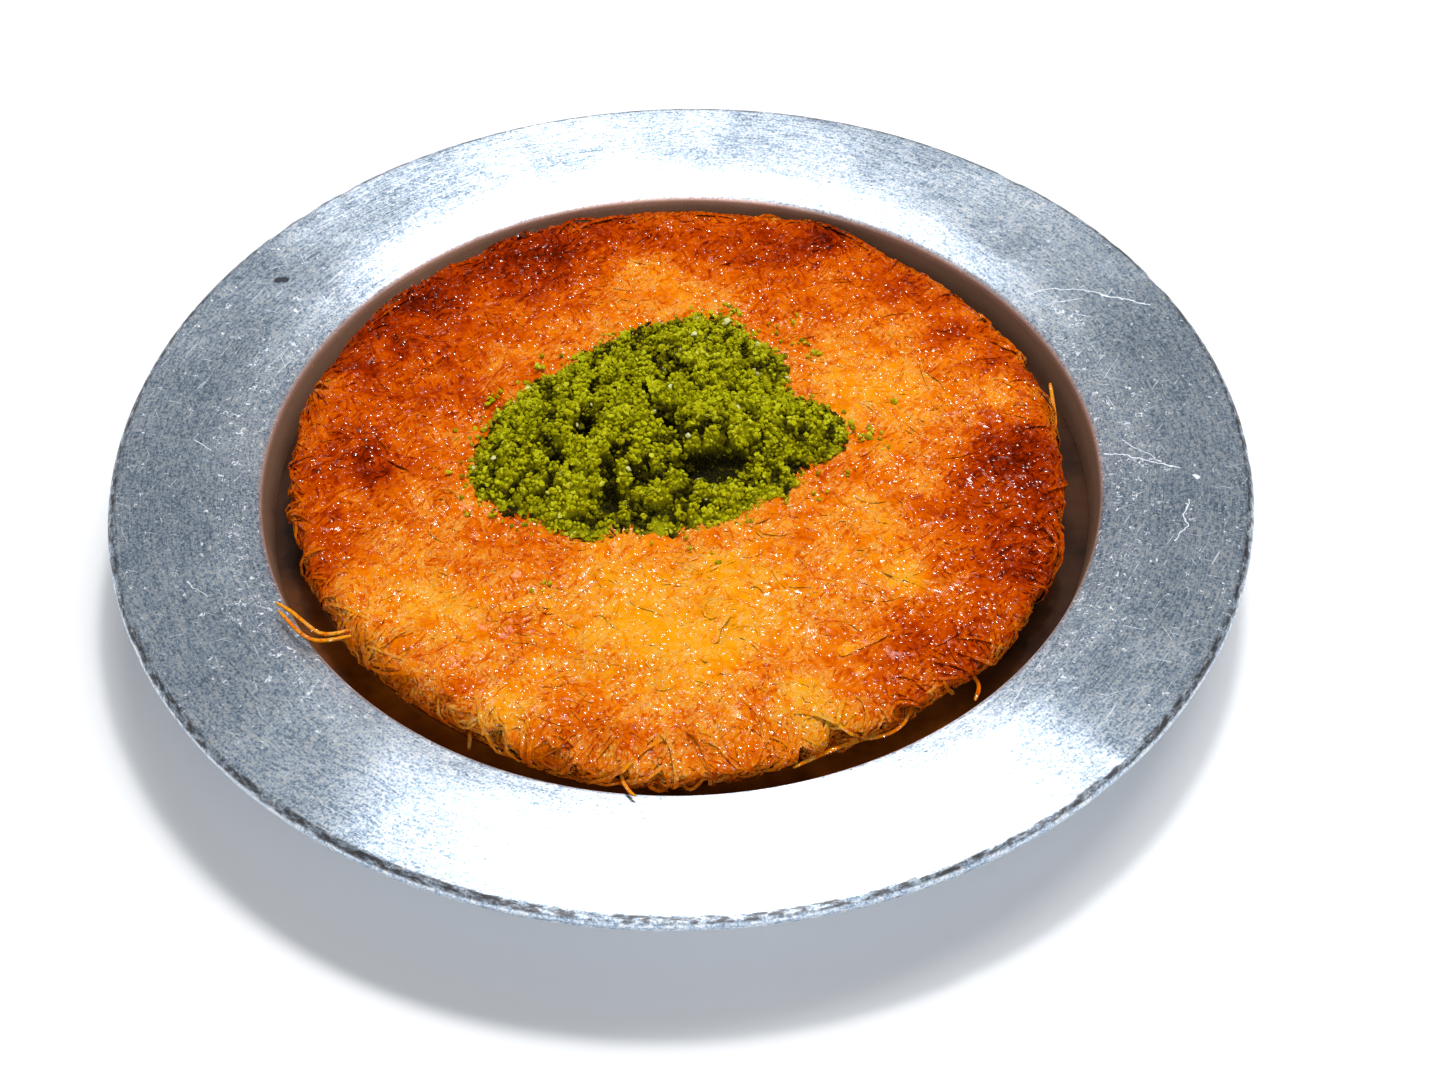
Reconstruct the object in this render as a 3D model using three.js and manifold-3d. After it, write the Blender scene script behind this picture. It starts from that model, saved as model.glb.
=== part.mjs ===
// A round shredded-pastry dessert in its own wide-rimmed metal dish, with syrup round it and a heap
// of crushed nuts on top. Millimetres, +Z up. The origin is on the dish's axis, at the surface that
// the dish stands on, and -Y is the side nearest the diner.
import * as THREE from "three";
import { mergeVertices } from "three/addons/utils/BufferGeometryUtils.js";
import Module from "manifold-3d";

const wasm = await Module();
wasm.setup();

// ---- Driving dimensions ----
const GAP = 0.3; // clearance between pieces that touch

const RIM_RADIUS = 100; // outer radius of the flat rim
const RIM_TOP = 22; // height of the rim's upper face
const RIM_EDGE = 2.8; // thickness of the hemmed outer edge
const HEM_WIDTH = 3; // how far the thicker hem reaches in from the edge
const EDGE_ROUND = 1.5; // rounding of the hem's upper corner
const SHEET = 2; // thickness of the metal elsewhere
const SHOULDER_RADIUS = 79.7; // where the flat rim begins to fall towards the well
const SHOULDER_DROP = 0.9; // how far it falls before the lip
const LIP_RADIUS = 73.4; // inner radius of the well's mouth
const LIP_ROUND = 1.5; // rounding of the lip
const WELL_FLOOR = SHEET; // height of the well's floor
const WELL_CORNER = 5; // inside radius where the wall meets the floor
const WALL_TAPER = 3.4; // how much narrower the well is at its corner than at its lip

const PASTRY = { x: -1.5, y: 0.2 }; // the pastry's axis: it has slid a little in the dish
const PASTRY_RADIUS = 66.8; // crust radius before its unevenness
const BODY_RADIUS = 64.6; // softer body below the crust
const CRUST_UNDERSIDE = 18.2; // height where the crust starts to overhang the body
const SHOULDER_HEIGHT = RIM_TOP + 0.6; // height where the crust turns over to the top
const PASTRY_TOP = 25.2; // height of the top at its middle
const CRUST_WAVE = 1.1; // how far the crust's outline wanders in and out
const TOP_RELIEF = 0.6; // height of the swells of the top
const FRONT_SAG = 2.2; // how far the crust's lower edge has sagged outwards at the front

const SYRUP_LEVEL = RIM_TOP - 8;

const STRAND = 1.15; // diameter of a syrup-soaked strand
const STRAND_SIDES = 4;
const STRAND_STEPS = 4;
const TOP_STRANDS = 40;
const EDGE_STRANDS = 20;
const OPEN_SIDE = 20; // no strand hangs within this many degrees of +X, where the gap is widest

const HEAP = { x: -5.5, y: 4.5 }; // middle of the heap of nuts
// How far the heap reaches from its middle, every 22.5 degrees from +X.
const HEAP_REACH = [34, 27, 31, 34, 28, 25, 23, 26, 30, 33, 30, 26, 23, 23, 22, 26];
const HEAP_HEIGHT = 8.5; // above the crust
const HEAP_LUMPS = 1; // height of the heap's lumps
const GRAIN = 1.5; // radius of the coarser grains in the solid
const HEAP_GRAINS = 44;
const STRAY_CRUMBS = 13;

const DISH_SEGMENTS = 60;
const PASTRY_SEGMENTS = 60;
const HEAP_SEGMENTS = 36;

// ---- Seeded numbers, so that every build is the same ----
function randomFrom(seed) {
  let state = seed >>> 0;
  return () => {
    state = (state + 0x6d2b79f5) >>> 0;
    let t = state;
    t = Math.imul(t ^ (t >>> 15), t | 1);
    t ^= t + Math.imul(t ^ (t >>> 7), t | 61);
    return ((t ^ (t >>> 14)) >>> 0) / 4294967296;
  };
}

function latticeValue(i, j) {
  let n = Math.imul(i, 374761393) + Math.imul(j, 668265263);
  n = Math.imul(n ^ (n >>> 13), 1274126177);
  return (((n ^ (n >>> 16)) >>> 0) / 4294967296) * 2 - 1;
}

// Smooth noise from -1 to 1, with one swell for each unit of x or y.
function noise(x, y) {
  const i = Math.floor(x);
  const j = Math.floor(y);
  const u = THREE.MathUtils.smoothstep(x - i, 0, 1);
  const v = THREE.MathUtils.smoothstep(y - j, 0, 1);
  const low = THREE.MathUtils.lerp(latticeValue(i, j), latticeValue(i + 1, j), u);
  const high = THREE.MathUtils.lerp(latticeValue(i, j + 1), latticeValue(i + 1, j + 1), u);
  return THREE.MathUtils.lerp(low, high, v);
}

// ---- Profiles ----
// Points of an arc in a lathe profile, about a centre, from one angle to another in degrees.
function arc(radius, height, size, from, to, steps) {
  const points = [];
  for (let i = 0; i <= steps; i++) {
    const angle = THREE.MathUtils.degToRad(from + ((to - from) * i) / steps);
    points.push(new THREE.Vector2(radius + size * Math.cos(angle), height + size * Math.sin(angle)));
  }
  return points;
}

function point(radius, height) {
  return new THREE.Vector2(radius, height);
}

// A lathe turns about Y, so it is stood up to turn about Z.
function lathe(profile, segments) {
  return new THREE.LatheGeometry(profile, segments).rotateX(Math.PI / 2);
}

const CORNER_HEIGHT = WELL_FLOOR + WELL_CORNER;
const LIP_HEIGHT = RIM_TOP - SHOULDER_DROP - LIP_ROUND;
const CORNER_RADIUS = LIP_RADIUS - WALL_TAPER;

// Inner radius of the well's wall at a height above its corner.
function wallRadius(height) {
  const share = (height - CORNER_HEIGHT) / (LIP_HEIGHT - CORNER_HEIGHT);
  return THREE.MathUtils.lerp(CORNER_RADIUS, LIP_RADIUS, THREE.MathUtils.clamp(share, 0, 1));
}

function dishGeometry() {
  const hemStart = RIM_RADIUS - HEM_WIDTH;
  const underRim = RIM_TOP - SHEET;
  const outerCorner = WELL_CORNER + SHEET;
  const profile = [
    point(0, 0),
    ...arc(CORNER_RADIUS - WELL_CORNER, outerCorner, outerCorner, -90, 0, 3),
    point(LIP_RADIUS + SHEET, underRim - 1.6),
    point(LIP_RADIUS + SHEET + 1.2, underRim - 0.5),
    point(SHOULDER_RADIUS, underRim),
    point(hemStart, underRim),
    point(hemStart + 0.5, RIM_TOP - RIM_EDGE),
    point(RIM_RADIUS - 0.4, RIM_TOP - RIM_EDGE),
    ...arc(RIM_RADIUS - EDGE_ROUND, RIM_TOP - EDGE_ROUND, EDGE_ROUND, 0, 90, 3),
    point(SHOULDER_RADIUS, RIM_TOP),
    point((SHOULDER_RADIUS + LIP_RADIUS + LIP_ROUND) / 2, RIM_TOP - SHOULDER_DROP * 0.4),
    ...arc(LIP_RADIUS + LIP_ROUND, LIP_HEIGHT, LIP_ROUND, 90, 180, 3),
    ...arc(CORNER_RADIUS - WELL_CORNER, CORNER_HEIGHT, WELL_CORNER, 0, -90, 3),
    point(0, WELL_FLOOR),
  ];
  return lathe(profile, DISH_SEGMENTS);
}

// ---- Solids for cutting and joining ----
function toSolid(geometry) {
  const bare = geometry.clone();
  bare.deleteAttribute("normal");
  bare.deleteAttribute("uv");
  const merged = mergeVertices(bare, 1e-4);
  const mesh = new wasm.Mesh({
    numProp: 3,
    vertProperties: new Float32Array(merged.getAttribute("position").array),
    triVerts: new Uint32Array(merged.index.array),
  });
  return new wasm.Manifold(mesh);
}

// The largest shell alone: without loose scraps, and with sealed hollows filled.
function largestShell(solid) {
  const shells = solid.decompose();
  return shells.reduce((best, shell) => (shell.volume() > best.volume() ? shell : best));
}

function toGeometry(solid) {
  const { vertProperties, triVerts } = solid.getMesh();
  const geometry = new THREE.BufferGeometry();
  geometry.setAttribute("position", new THREE.BufferAttribute(vertProperties, 3));
  geometry.setIndex(new THREE.BufferAttribute(triVerts, 1));
  geometry.computeVertexNormals();
  return geometry;
}

// Moves every vertex of a geometry by a function of its place.
function reshape(geometry, move) {
  const place = geometry.getAttribute("position");
  const vertex = new THREE.Vector3();
  for (let i = 0; i < place.count; i++) {
    vertex.fromBufferAttribute(place, i);
    move(vertex);
    place.setXYZ(i, vertex.x, vertex.y, vertex.z);
  }
  return geometry;
}

// ---- The heap's outline, which the crust's strands keep clear of ----
const HEAP_TURN = 360 / HEAP_REACH.length;

function heapReach(angle) {
  const turns = THREE.MathUtils.euclideanModulo(THREE.MathUtils.radToDeg(angle), 360) / HEAP_TURN;
  const i = Math.floor(turns);
  const from = HEAP_REACH[i % HEAP_REACH.length];
  const to = HEAP_REACH[(i + 1) % HEAP_REACH.length];
  return THREE.MathUtils.lerp(from, to, THREE.MathUtils.smoothstep(turns - i, 0, 1));
}

// How far a place lies from the heap's middle, as a share of the way to its edge.
function heapShare(x, y) {
  const dx = x - HEAP.x;
  const dy = y - HEAP.y;
  return Math.hypot(dx, dy) / heapReach(Math.atan2(dy, dx));
}

// ---- The pastry ----
const SIDE_START = SYRUP_LEVEL + 0.5; // below this the side is smooth, because syrup lies against it
const TOP_EDGE = 62; // radius inside which the top is a shallow dome

function domeHeight(radius) {
  const edgeHeight = SHOULDER_HEIGHT + 1.4;
  return edgeHeight + (PASTRY_TOP - edgeHeight) * (1 - (radius / TOP_EDGE) ** 2);
}

function topRelief(x, y) {
  return TOP_RELIEF * (noise(x / 9, y / 9 + 40) + 0.5 * noise(x / 4.5 + 20, y / 4.5));
}

function moveCrust(vertex) {
  const radius = Math.hypot(vertex.x, vertex.y);
  if (radius < 1e-6) return;
  const across = vertex.x / radius;
  const away = vertex.y / radius;
  const onSide = THREE.MathUtils.smoothstep(radius, BODY_RADIUS - 6, BODY_RADIUS);
  const aboveSyrup = THREE.MathUtils.smoothstep(vertex.z, SIDE_START, SIDE_START + 2);
  const underTop = 1 - THREE.MathUtils.smoothstep(vertex.z, SHOULDER_HEIGHT - 1, SHOULDER_HEIGHT + 1);
  const wander = 0.6 * noise(3 * across + 7, 3 * away + 3);
  const folds = 0.7 * noise(11 * across, 11 * away + vertex.z / 2.5);
  const sag = FRONT_SAG * Math.max(0, -away) ** 12 * underTop;
  const push = (CRUST_WAVE * (wander + folds) + sag) * onSide * aboveSyrup;
  if (vertex.z > SHOULDER_HEIGHT) vertex.z += topRelief(vertex.x, vertex.y);
  vertex.x *= 1 + push / radius;
  vertex.y *= 1 + push / radius;
}

function pastryCore() {
  const foot = WELL_FLOOR + GAP;
  const profile = [
    point(0, foot),
    point(BODY_RADIUS - 1.4, foot),
    point(BODY_RADIUS - 0.5, foot + 1),
    point(BODY_RADIUS, SIDE_START),
    point(BODY_RADIUS + 0.2, SIDE_START + 2),
    point(BODY_RADIUS - 0.1, CRUST_UNDERSIDE),
    point(PASTRY_RADIUS - 0.7, CRUST_UNDERSIDE + 1.1),
    point(PASTRY_RADIUS, CRUST_UNDERSIDE + 2.6),
    point(PASTRY_RADIUS - 0.8, SHOULDER_HEIGHT),
    point(PASTRY_RADIUS - 2.3, SHOULDER_HEIGHT + 0.9),
  ];
  for (const radius of [TOP_EDGE, 57, 51, 44, 36, 27, 17, 8, 0]) {
    profile.push(point(radius, domeHeight(radius)));
  }
  const core = reshape(lathe(profile, PASTRY_SEGMENTS), moveCrust);
  return toSolid(core.translate(PASTRY.x, PASTRY.y, 0));
}

function crustHeight(x, y) {
  const radius = Math.hypot(x - PASTRY.x, y - PASTRY.y);
  return domeHeight(Math.min(radius, TOP_EDGE)) + topRelief(x - PASTRY.x, y - PASTRY.y);
}

// A strand is a thin bar swept along a smooth curve.
function strand(points, steps = STRAND_STEPS) {
  const section = new THREE.Shape();
  for (let i = 0; i < STRAND_SIDES; i++) {
    const angle = ((i + 0.5) * 2 * Math.PI) / STRAND_SIDES;
    const corner = [(Math.cos(angle) * STRAND) / 2, (Math.sin(angle) * STRAND) / 2];
    if (i === 0) section.moveTo(...corner);
    else section.lineTo(...corner);
  }
  section.closePath();
  const path = new THREE.CatmullRomCurve3(points.map((p) => new THREE.Vector3(...p)));
  const sweep = { steps, bevelEnabled: false, extrudePath: path };
  return toSolid(new THREE.ExtrudeGeometry(section, sweep));
}

// A short curl that lies half sunk in the crust about a place, turned to an angle.
function topStrand(x, y, turn, bend, length) {
  const points = [-1, -0.45, 0, 0.45, 1].map((t) => {
    const along = (t * length) / 2;
    const aside = bend * (1 - t * t);
    const px = x + along * Math.cos(turn) - aside * Math.sin(turn);
    const py = y + along * Math.sin(turn) + aside * Math.cos(turn);
    return [px, py, crustHeight(px, py) + STRAND * (0.22 - 0.5 * t * t)];
  });
  return strand(points);
}

// Places spread evenly over the top by the golden angle, clear of the heap.
function topStrands() {
  const random = randomFrom(11);
  const made = [];
  for (let i = 0; made.length < TOP_STRANDS && i < 4 * TOP_STRANDS; i++) {
    const radius = (TOP_EDGE - 5) * Math.sqrt((i + 0.5) / (1.32 * TOP_STRANDS));
    const angle = i * Math.PI * (3 - Math.sqrt(5));
    const x = PASTRY.x + radius * Math.cos(angle);
    const y = PASTRY.y + radius * Math.sin(angle);
    const turn = random() * Math.PI;
    const bend = (random() - 0.5) * 6;
    const length = 9 + 8 * random();
    const clear = [-0.5, 0, 0.5].every(
      (t) => heapShare(x + t * length * Math.cos(turn), y + t * length * Math.sin(turn)) > 1.12,
    );
    if (clear && radius < TOP_EDGE - 5) made.push(topStrand(x, y, turn, bend, length));
  }
  return made;
}

// A strand that comes out of the crust's edge and hangs down its side.
function edgeStrand(angle, sweep, reach, drop) {
  const place = (turn, radius, height) => {
    const x = PASTRY.x + radius * Math.cos(turn);
    const y = PASTRY.y + radius * Math.sin(turn);
    const most = wallRadius(height) - STRAND / 2 - GAP;
    const scale = Math.min(1, most / Math.hypot(x, y));
    return [x * scale, y * scale, height];
  };
  const low = Math.max(SHOULDER_HEIGHT - drop, SYRUP_LEVEL + STRAND / 2 + GAP);
  return strand([
    place(angle - sweep, PASTRY_RADIUS - 5, SHOULDER_HEIGHT + 0.6),
    place(angle - sweep / 2, PASTRY_RADIUS - 0.8, SHOULDER_HEIGHT - 0.6),
    place(angle, PASTRY_RADIUS + reach, (SHOULDER_HEIGHT + low) / 2),
    place(angle + sweep / 2, PASTRY_RADIUS + reach * 0.4, low + 0.6),
    place(angle + sweep, BODY_RADIUS - 1, low + 0.4),
  ]);
}

function edgeStrands() {
  const random = randomFrom(23);
  const made = [];
  for (let i = 0; i < EDGE_STRANDS; i++) {
    const degrees = -180 + (360 * (i + 0.6 * random())) / EDGE_STRANDS;
    const sweep = (0.05 + 0.06 * random()) * (random() < 0.5 ? -1 : 1);
    const reach = 0.6 + 1.6 * random();
    const drop = 4 + 4 * random();
    if (Math.abs(degrees) < OPEN_SIDE) continue;
    made.push(edgeStrand(THREE.MathUtils.degToRad(degrees), sweep, reach, drop));
  }
  return made;
}

// The few long strands that have come loose from the crust.
function looseStrands() {
  const alongFront = [[36, -55, 20.4], [32, -60, 18.9], [26, -62.6, 18.7], [17.4, -67.4, 18.4]];
  const frontRight = [[46, -45, 20], [48.5, -47.5, 18.6], [49.2, -50, 17.6], [48, -52.2, 17.2]];
  const overLip = [[-53, -38, 22.6], [-59.6, -40.6, 23], [-64, -37.4, 23.7], [-69, -33.4, 23.2]];
  const hanging = [[-32, -52, 21.4], [-34.7, -58.8, 20], [-35.6, -60.5, 17.6], [-36, -60, 15]];
  return [strand(alongFront, 7), strand(frontRight), strand(overLip, 5), strand(hanging)];
}

// A broken grain: a twenty-sided lump, squashed and turned at random.
function grain(random, radius, x, y, z) {
  const lump = new THREE.IcosahedronGeometry(radius, 0);
  lump.scale(0.75 + 0.5 * random(), 0.75 + 0.5 * random(), 0.7 + 0.4 * random());
  lump.rotateZ(random() * Math.PI);
  lump.rotateX(random() * Math.PI);
  return toSolid(lump.translate(x, y, z));
}

function strayCrumbs() {
  const random = randomFrom(37);
  const made = [];
  for (let i = 0; i < STRAY_CRUMBS; i++) {
    const angle = (2 * Math.PI * (i + 0.7 * random())) / STRAY_CRUMBS;
    const away = heapReach(angle) * (1.16 + 0.3 * random() ** 2);
    const x = HEAP.x + away * Math.cos(angle);
    const y = HEAP.y + away * Math.sin(angle);
    made.push(grain(random, 0.8 + 0.5 * random(), x, y, crustHeight(x, y) + 0.35));
  }
  return made;
}

// ---- The heap of nuts ----
const HEAP_SINK = 1.5; // how far the heap is started below the crust, before it is cut by it

function heapRise(x, y) {
  const share = Math.min(1, heapShare(x, y));
  const lumps = HEAP_LUMPS * (noise(x / 8 + 9, y / 8) + 0.8 * noise(x / 4.5, y / 4.5 + 5));
  return HEAP_HEIGHT * (1 - share ** 1.7) + lumps * (1 - share ** 4);
}

function heapSolid(core) {
  const shares = [1, 0.94, 0.84, 0.72, 0.58, 0.43, 0.26, 0];
  const underside = [point(0, -HEAP_SINK), point(0.96, -HEAP_SINK)];
  const profile = [...underside, ...shares.map((share) => point(share, 0))];
  const mound = reshape(lathe(profile, HEAP_SEGMENTS), (vertex) => {
    const isUnder = vertex.z < -HEAP_SINK / 2;
    const reach = heapReach(Math.atan2(vertex.y, vertex.x));
    const ragged = 1 + 0.05 * noise(vertex.x * 7, vertex.y * 7 + 60);
    vertex.x = HEAP.x + vertex.x * reach * ragged;
    vertex.y = HEAP.y + vertex.y * reach * ragged;
    const rise = isUnder ? -HEAP_SINK : heapRise(vertex.x, vertex.y);
    vertex.z = crustHeight(vertex.x, vertex.y) + rise;
  });
  const random = randomFrom(53);
  const grains = [];
  for (let i = 0; i < HEAP_GRAINS; i++) {
    const share = 0.98 * Math.sqrt((i + 0.5) / HEAP_GRAINS);
    const angle = i * Math.PI * (3 - Math.sqrt(5));
    const x = HEAP.x + share * heapReach(angle) * Math.cos(angle);
    const y = HEAP.y + share * heapReach(angle) * Math.sin(angle);
    const size = GRAIN * (0.7 + 0.5 * random());
    grains.push(grain(random, size, x, y, crustHeight(x, y) + heapRise(x, y)));
  }
  const heap = wasm.Manifold.union([toSolid(mound), ...grains]);
  return largestShell(heap.subtract(core.translate([0, 0, GAP])));
}

// ---- The syrup between pastry and wall ----
function syrupSolid() {
  const foot = WELL_FLOOR + GAP;
  const pool = lathe(
    [
      point(0, foot),
      ...arc(CORNER_RADIUS - WELL_CORNER, CORNER_HEIGHT, WELL_CORNER - GAP, -90, 0, 3),
      point(wallRadius(SYRUP_LEVEL) - GAP, SYRUP_LEVEL),
      point(0, SYRUP_LEVEL),
    ],
    DISH_SEGMENTS,
  );
  const plug = lathe(
    [
      point(0, 0),
      point(BODY_RADIUS + GAP, 0),
      point(BODY_RADIUS + GAP, RIM_TOP),
      point(0, RIM_TOP),
    ],
    PASTRY_SEGMENTS,
  );
  plug.translate(PASTRY.x, PASTRY.y, 0);
  return largestShell(toSolid(pool).subtract(toSolid(plug)));
}

// ---- Materials ----
function material(color, roughness, metalness = 0) {
  return new THREE.MeshStandardMaterial({ color, roughness, metalness });
}

const metal = material(0xa9b0b8, 0.38, 1);
const crust = material(0xd9720f, 0.3);
const syrup = material(0x4a1d06, 0.08);
const nuts = material(0x76901a, 0.9);

// ---- The whole ----
const group = new THREE.Group();

function add(name, geometry, finish) {
  const mesh = new THREE.Mesh(geometry, finish);
  mesh.name = name;
  group.add(mesh);
}

const core = pastryCore();
const pastry = wasm.Manifold.union([
  core,
  ...topStrands(),
  ...edgeStrands(),
  ...looseStrands(),
  ...strayCrumbs(),
]);

add("dish", dishGeometry(), metal);
add("kunafa", toGeometry(largestShell(pastry)), crust);
add("syrup", toGeometry(syrupSolid()), syrup);
add("pistachio_heap", toGeometry(heapSolid(core)), nuts);

export default group;
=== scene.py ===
"""The looks of a kunafa in its metal dish: a crust of baked shreds soaked in syrup, a heap of crushed
pistachio, and a brushed, scuffed dish. Lengths are in millimetres until a mesh is made."""
import math

import bpy
import numpy as np
from mathutils import Matrix, Vector


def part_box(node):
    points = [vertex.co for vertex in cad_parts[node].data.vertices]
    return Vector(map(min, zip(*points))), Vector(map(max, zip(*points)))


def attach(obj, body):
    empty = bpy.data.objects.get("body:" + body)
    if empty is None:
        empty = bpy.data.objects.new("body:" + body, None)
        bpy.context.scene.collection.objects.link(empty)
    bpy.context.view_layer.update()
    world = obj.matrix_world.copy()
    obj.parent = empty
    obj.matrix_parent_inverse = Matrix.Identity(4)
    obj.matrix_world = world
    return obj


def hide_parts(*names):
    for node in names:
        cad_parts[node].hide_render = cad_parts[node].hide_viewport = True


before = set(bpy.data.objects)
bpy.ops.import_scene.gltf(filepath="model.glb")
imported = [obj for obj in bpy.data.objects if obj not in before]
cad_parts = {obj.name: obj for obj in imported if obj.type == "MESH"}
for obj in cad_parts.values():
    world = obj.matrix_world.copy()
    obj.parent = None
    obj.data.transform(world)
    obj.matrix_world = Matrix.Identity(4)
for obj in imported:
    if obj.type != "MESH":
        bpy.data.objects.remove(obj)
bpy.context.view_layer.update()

MM = 0.001
DISH_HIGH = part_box("dish")[1] / MM
RIM_RADIUS = DISH_HIGH.x
RIM_TOP = DISH_HIGH.z
SYRUP_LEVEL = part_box("syrup")[1].z / MM
SYRUP_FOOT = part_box("syrup")[0].z / MM

# ---- Sizes that repeat the solids ----
GAP = 0.3
SHEET = 2.0
HEM_THICKNESS = 2.8
HEM_WIDTH = 3.0
EDGE_ROUND = 1.5
SHOULDER_RADIUS = 79.7
SHOULDER_DROP = 0.9
LIP_RADIUS = 73.4
LIP_ROUND = 1.5
WELL_CORNER = 5.0
WALL_TAPER = 3.4

PASTRY = np.array([-1.5, 0.2])
BODY_RADIUS = 64.6
CRUST_RADIUS = 66.8
CRUST_UNDERSIDE = 18.2
CRUST_EDGE = RIM_TOP + 0.6
DOME_RADIUS = 62.0
DOME_EDGE = CRUST_EDGE + 1.4
DOME_TOP = 25.2
TOP_RELIEF = 0.6
CRUST_WAVE = 1.1
SIDE_START = SYRUP_LEVEL + 0.5

HEAP = np.array([-5.5, 4.5])
HEAP_HEIGHT = 8.5
HEAP_LUMPS = 1.0
HEAP_REACH = np.array([34, 27, 31, 34, 28, 25, 23, 26, 30, 33, 30, 26, 23, 23, 22, 26], float)

# ---- Sizes of what the solids leave out ----
# How far the crust's edge bulges at the front, at the right, and between them.
FRONT_SAG = 4.2
RIGHT_SWELL = 1.4
SKIRT_SWELL = 2.6
# How high the clumps of crumbs are, and the highest that a crumb's middle lies.
HEAP_CLUMPS = 1.7
HIGHEST_CRUMB = 34.8
# A distance well past the heap, from which its reach in a direction is worked out.
FAR = 100

# ---- The photograph's camera ----
IMAGE_WIDTH = 1448
FOCAL_PIXELS = 3266.4
CAMERA_DISTANCE = 560.0
CAMERA_ELEVATION = math.radians(46.23)
CAMERA_ROLL = math.radians(-0.88)
CAMERA_TARGET = Vector((7.37, -18.82, RIM_TOP - 0.45))
SENSOR_WIDTH = 36.0


# ---- Seeded noise, the same as in the solids ----
def lattice(i, j):
    """A random number from -1 to 1 for each pair of whole numbers."""
    n = (i * 374761393 + j * 668265263) & 0xFFFFFFFF
    n = ((n ^ (n >> 13)) * 1274126177) & 0xFFFFFFFF
    return (n ^ (n >> 16)) / 2147483648.0 - 1.0


def noise(x, y):
    """Smooth noise from -1 to 1, with one swell for each unit of x or y."""
    i = np.floor(x).astype(np.int64)
    j = np.floor(y).astype(np.int64)
    u = x - i
    v = y - j
    u = u * u * (3 - 2 * u)
    v = v * v * (3 - 2 * v)
    low = lattice(i, j) * (1 - u) + lattice(i + 1, j) * u
    high = lattice(i, j + 1) * (1 - u) + lattice(i + 1, j + 1) * u
    return low * (1 - v) + high * v


def smoothstep(value, low, high):
    """0 up to low, 1 from high on, and smooth between them."""
    t = np.clip((value - low) / (high - low), 0, 1)
    return t * t * (3 - 2 * t)


def full_turn(columns):
    """Angles spread evenly round a circle."""
    return np.arange(columns) * 2 * np.pi / columns


# ---- Meshes from arrays ----
def make_object(name, points, quads=(), triangles=(), attributes=None, smooth=True):
    """An object from arrays: points in millimetres, faces as rows of point numbers."""
    quads = np.asarray(quads, np.int32).reshape(-1, 4)
    triangles = np.asarray(triangles, np.int32).reshape(-1, 3)
    mesh = bpy.data.meshes.new(name)
    mesh.vertices.add(len(points))
    mesh.vertices.foreach_set("co", (np.asarray(points) * MM).astype(np.float32).ravel())
    corners = np.concatenate([quads.ravel(), triangles.ravel()])
    mesh.loops.add(len(corners))
    mesh.loops.foreach_set("vertex_index", corners)
    quad_starts = np.arange(len(quads)) * 4
    triangle_starts = len(quads) * 4 + np.arange(len(triangles)) * 3
    starts = np.concatenate([quad_starts, triangle_starts]).astype(np.int32)
    mesh.polygons.add(len(starts))
    mesh.polygons.foreach_set("loop_start", starts)
    mesh.polygons.foreach_set("use_smooth", np.full(len(starts), smooth))
    mesh.update(calc_edges=True)
    for key, values in (attributes or {}).items():
        values = np.asarray(values, np.float32)
        kind, field = ("FLOAT_VECTOR", "vector") if values.ndim == 2 else ("FLOAT", "value")
        mesh.attributes.new(key, kind, "POINT").data.foreach_set(field, values.ravel())
    made = bpy.data.objects.new(name, mesh)
    bpy.context.scene.collection.objects.link(made)
    return made


def grid_faces(rings, columns):
    """Quads between closed rings of points, where each ring's points follow the last ring's."""
    ring, column = np.meshgrid(np.arange(rings - 1), np.arange(columns), indexing="ij")
    following = (column + 1) % columns
    first = ring * columns
    corners = [first + column, first + following, first + columns + following, first + columns + column]
    return np.stack(corners, axis=-1).reshape(-1, 4)


def cap_faces(centre, ring_start, columns, forward):
    """Triangles from a centre point to a ring of points, facing one way or the other."""
    column = np.arange(columns)
    following = (column + 1) % columns
    pair = (column, following) if forward else (following, column)
    return np.stack([np.full(columns, centre), ring_start + pair[0], ring_start + pair[1]], axis=-1)


def closed_rings(name, rings, start, end, attributes=None):
    """A closed body from rings (rings x columns x 3) and the two points that close its ends."""
    count, columns, _ = rings.shape
    points = np.concatenate([rings.reshape(-1, 3), [start, end]])
    first = cap_faces(count * columns, 0, columns, False)
    last = cap_faces(count * columns + 1, (count - 1) * columns, columns, True)
    triangles = np.concatenate([first, last])
    return make_object(name, points, grid_faces(count, columns), triangles, attributes)


def arc(radius, height, size, start, end, steps):
    """Points (radius, height) on an arc of some size round a centre, between angles in degrees."""
    angles = np.radians(np.linspace(start, end, steps + 1))
    return [(radius + size * math.cos(a), height + size * math.sin(a)) for a in angles]


def refined(profile, step):
    """The same profile with no stretch longer than a step."""
    fine = [profile[0]]
    for start, end in zip(profile, profile[1:]):
        count = max(1, math.ceil(math.dist(start, end) / step))
        for i in range(1, count + 1):
            share = i / count
            fine.append(tuple(a + (b - a) * share for a, b in zip(start, end)))
    return np.array(fine)


def cut_corners(points, rounds):
    """Rounds a line of points by cutting its corners, with its ends kept."""
    for _ in range(rounds):
        near = points[:-1] * 0.75 + points[1:] * 0.25
        far = points[:-1] * 0.25 + points[1:] * 0.75
        middle = np.stack([near, far], axis=1).reshape(-1, points.shape[1])
        points = np.concatenate([points[:1], middle[1:-1], points[-1:]])
    return points


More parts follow.
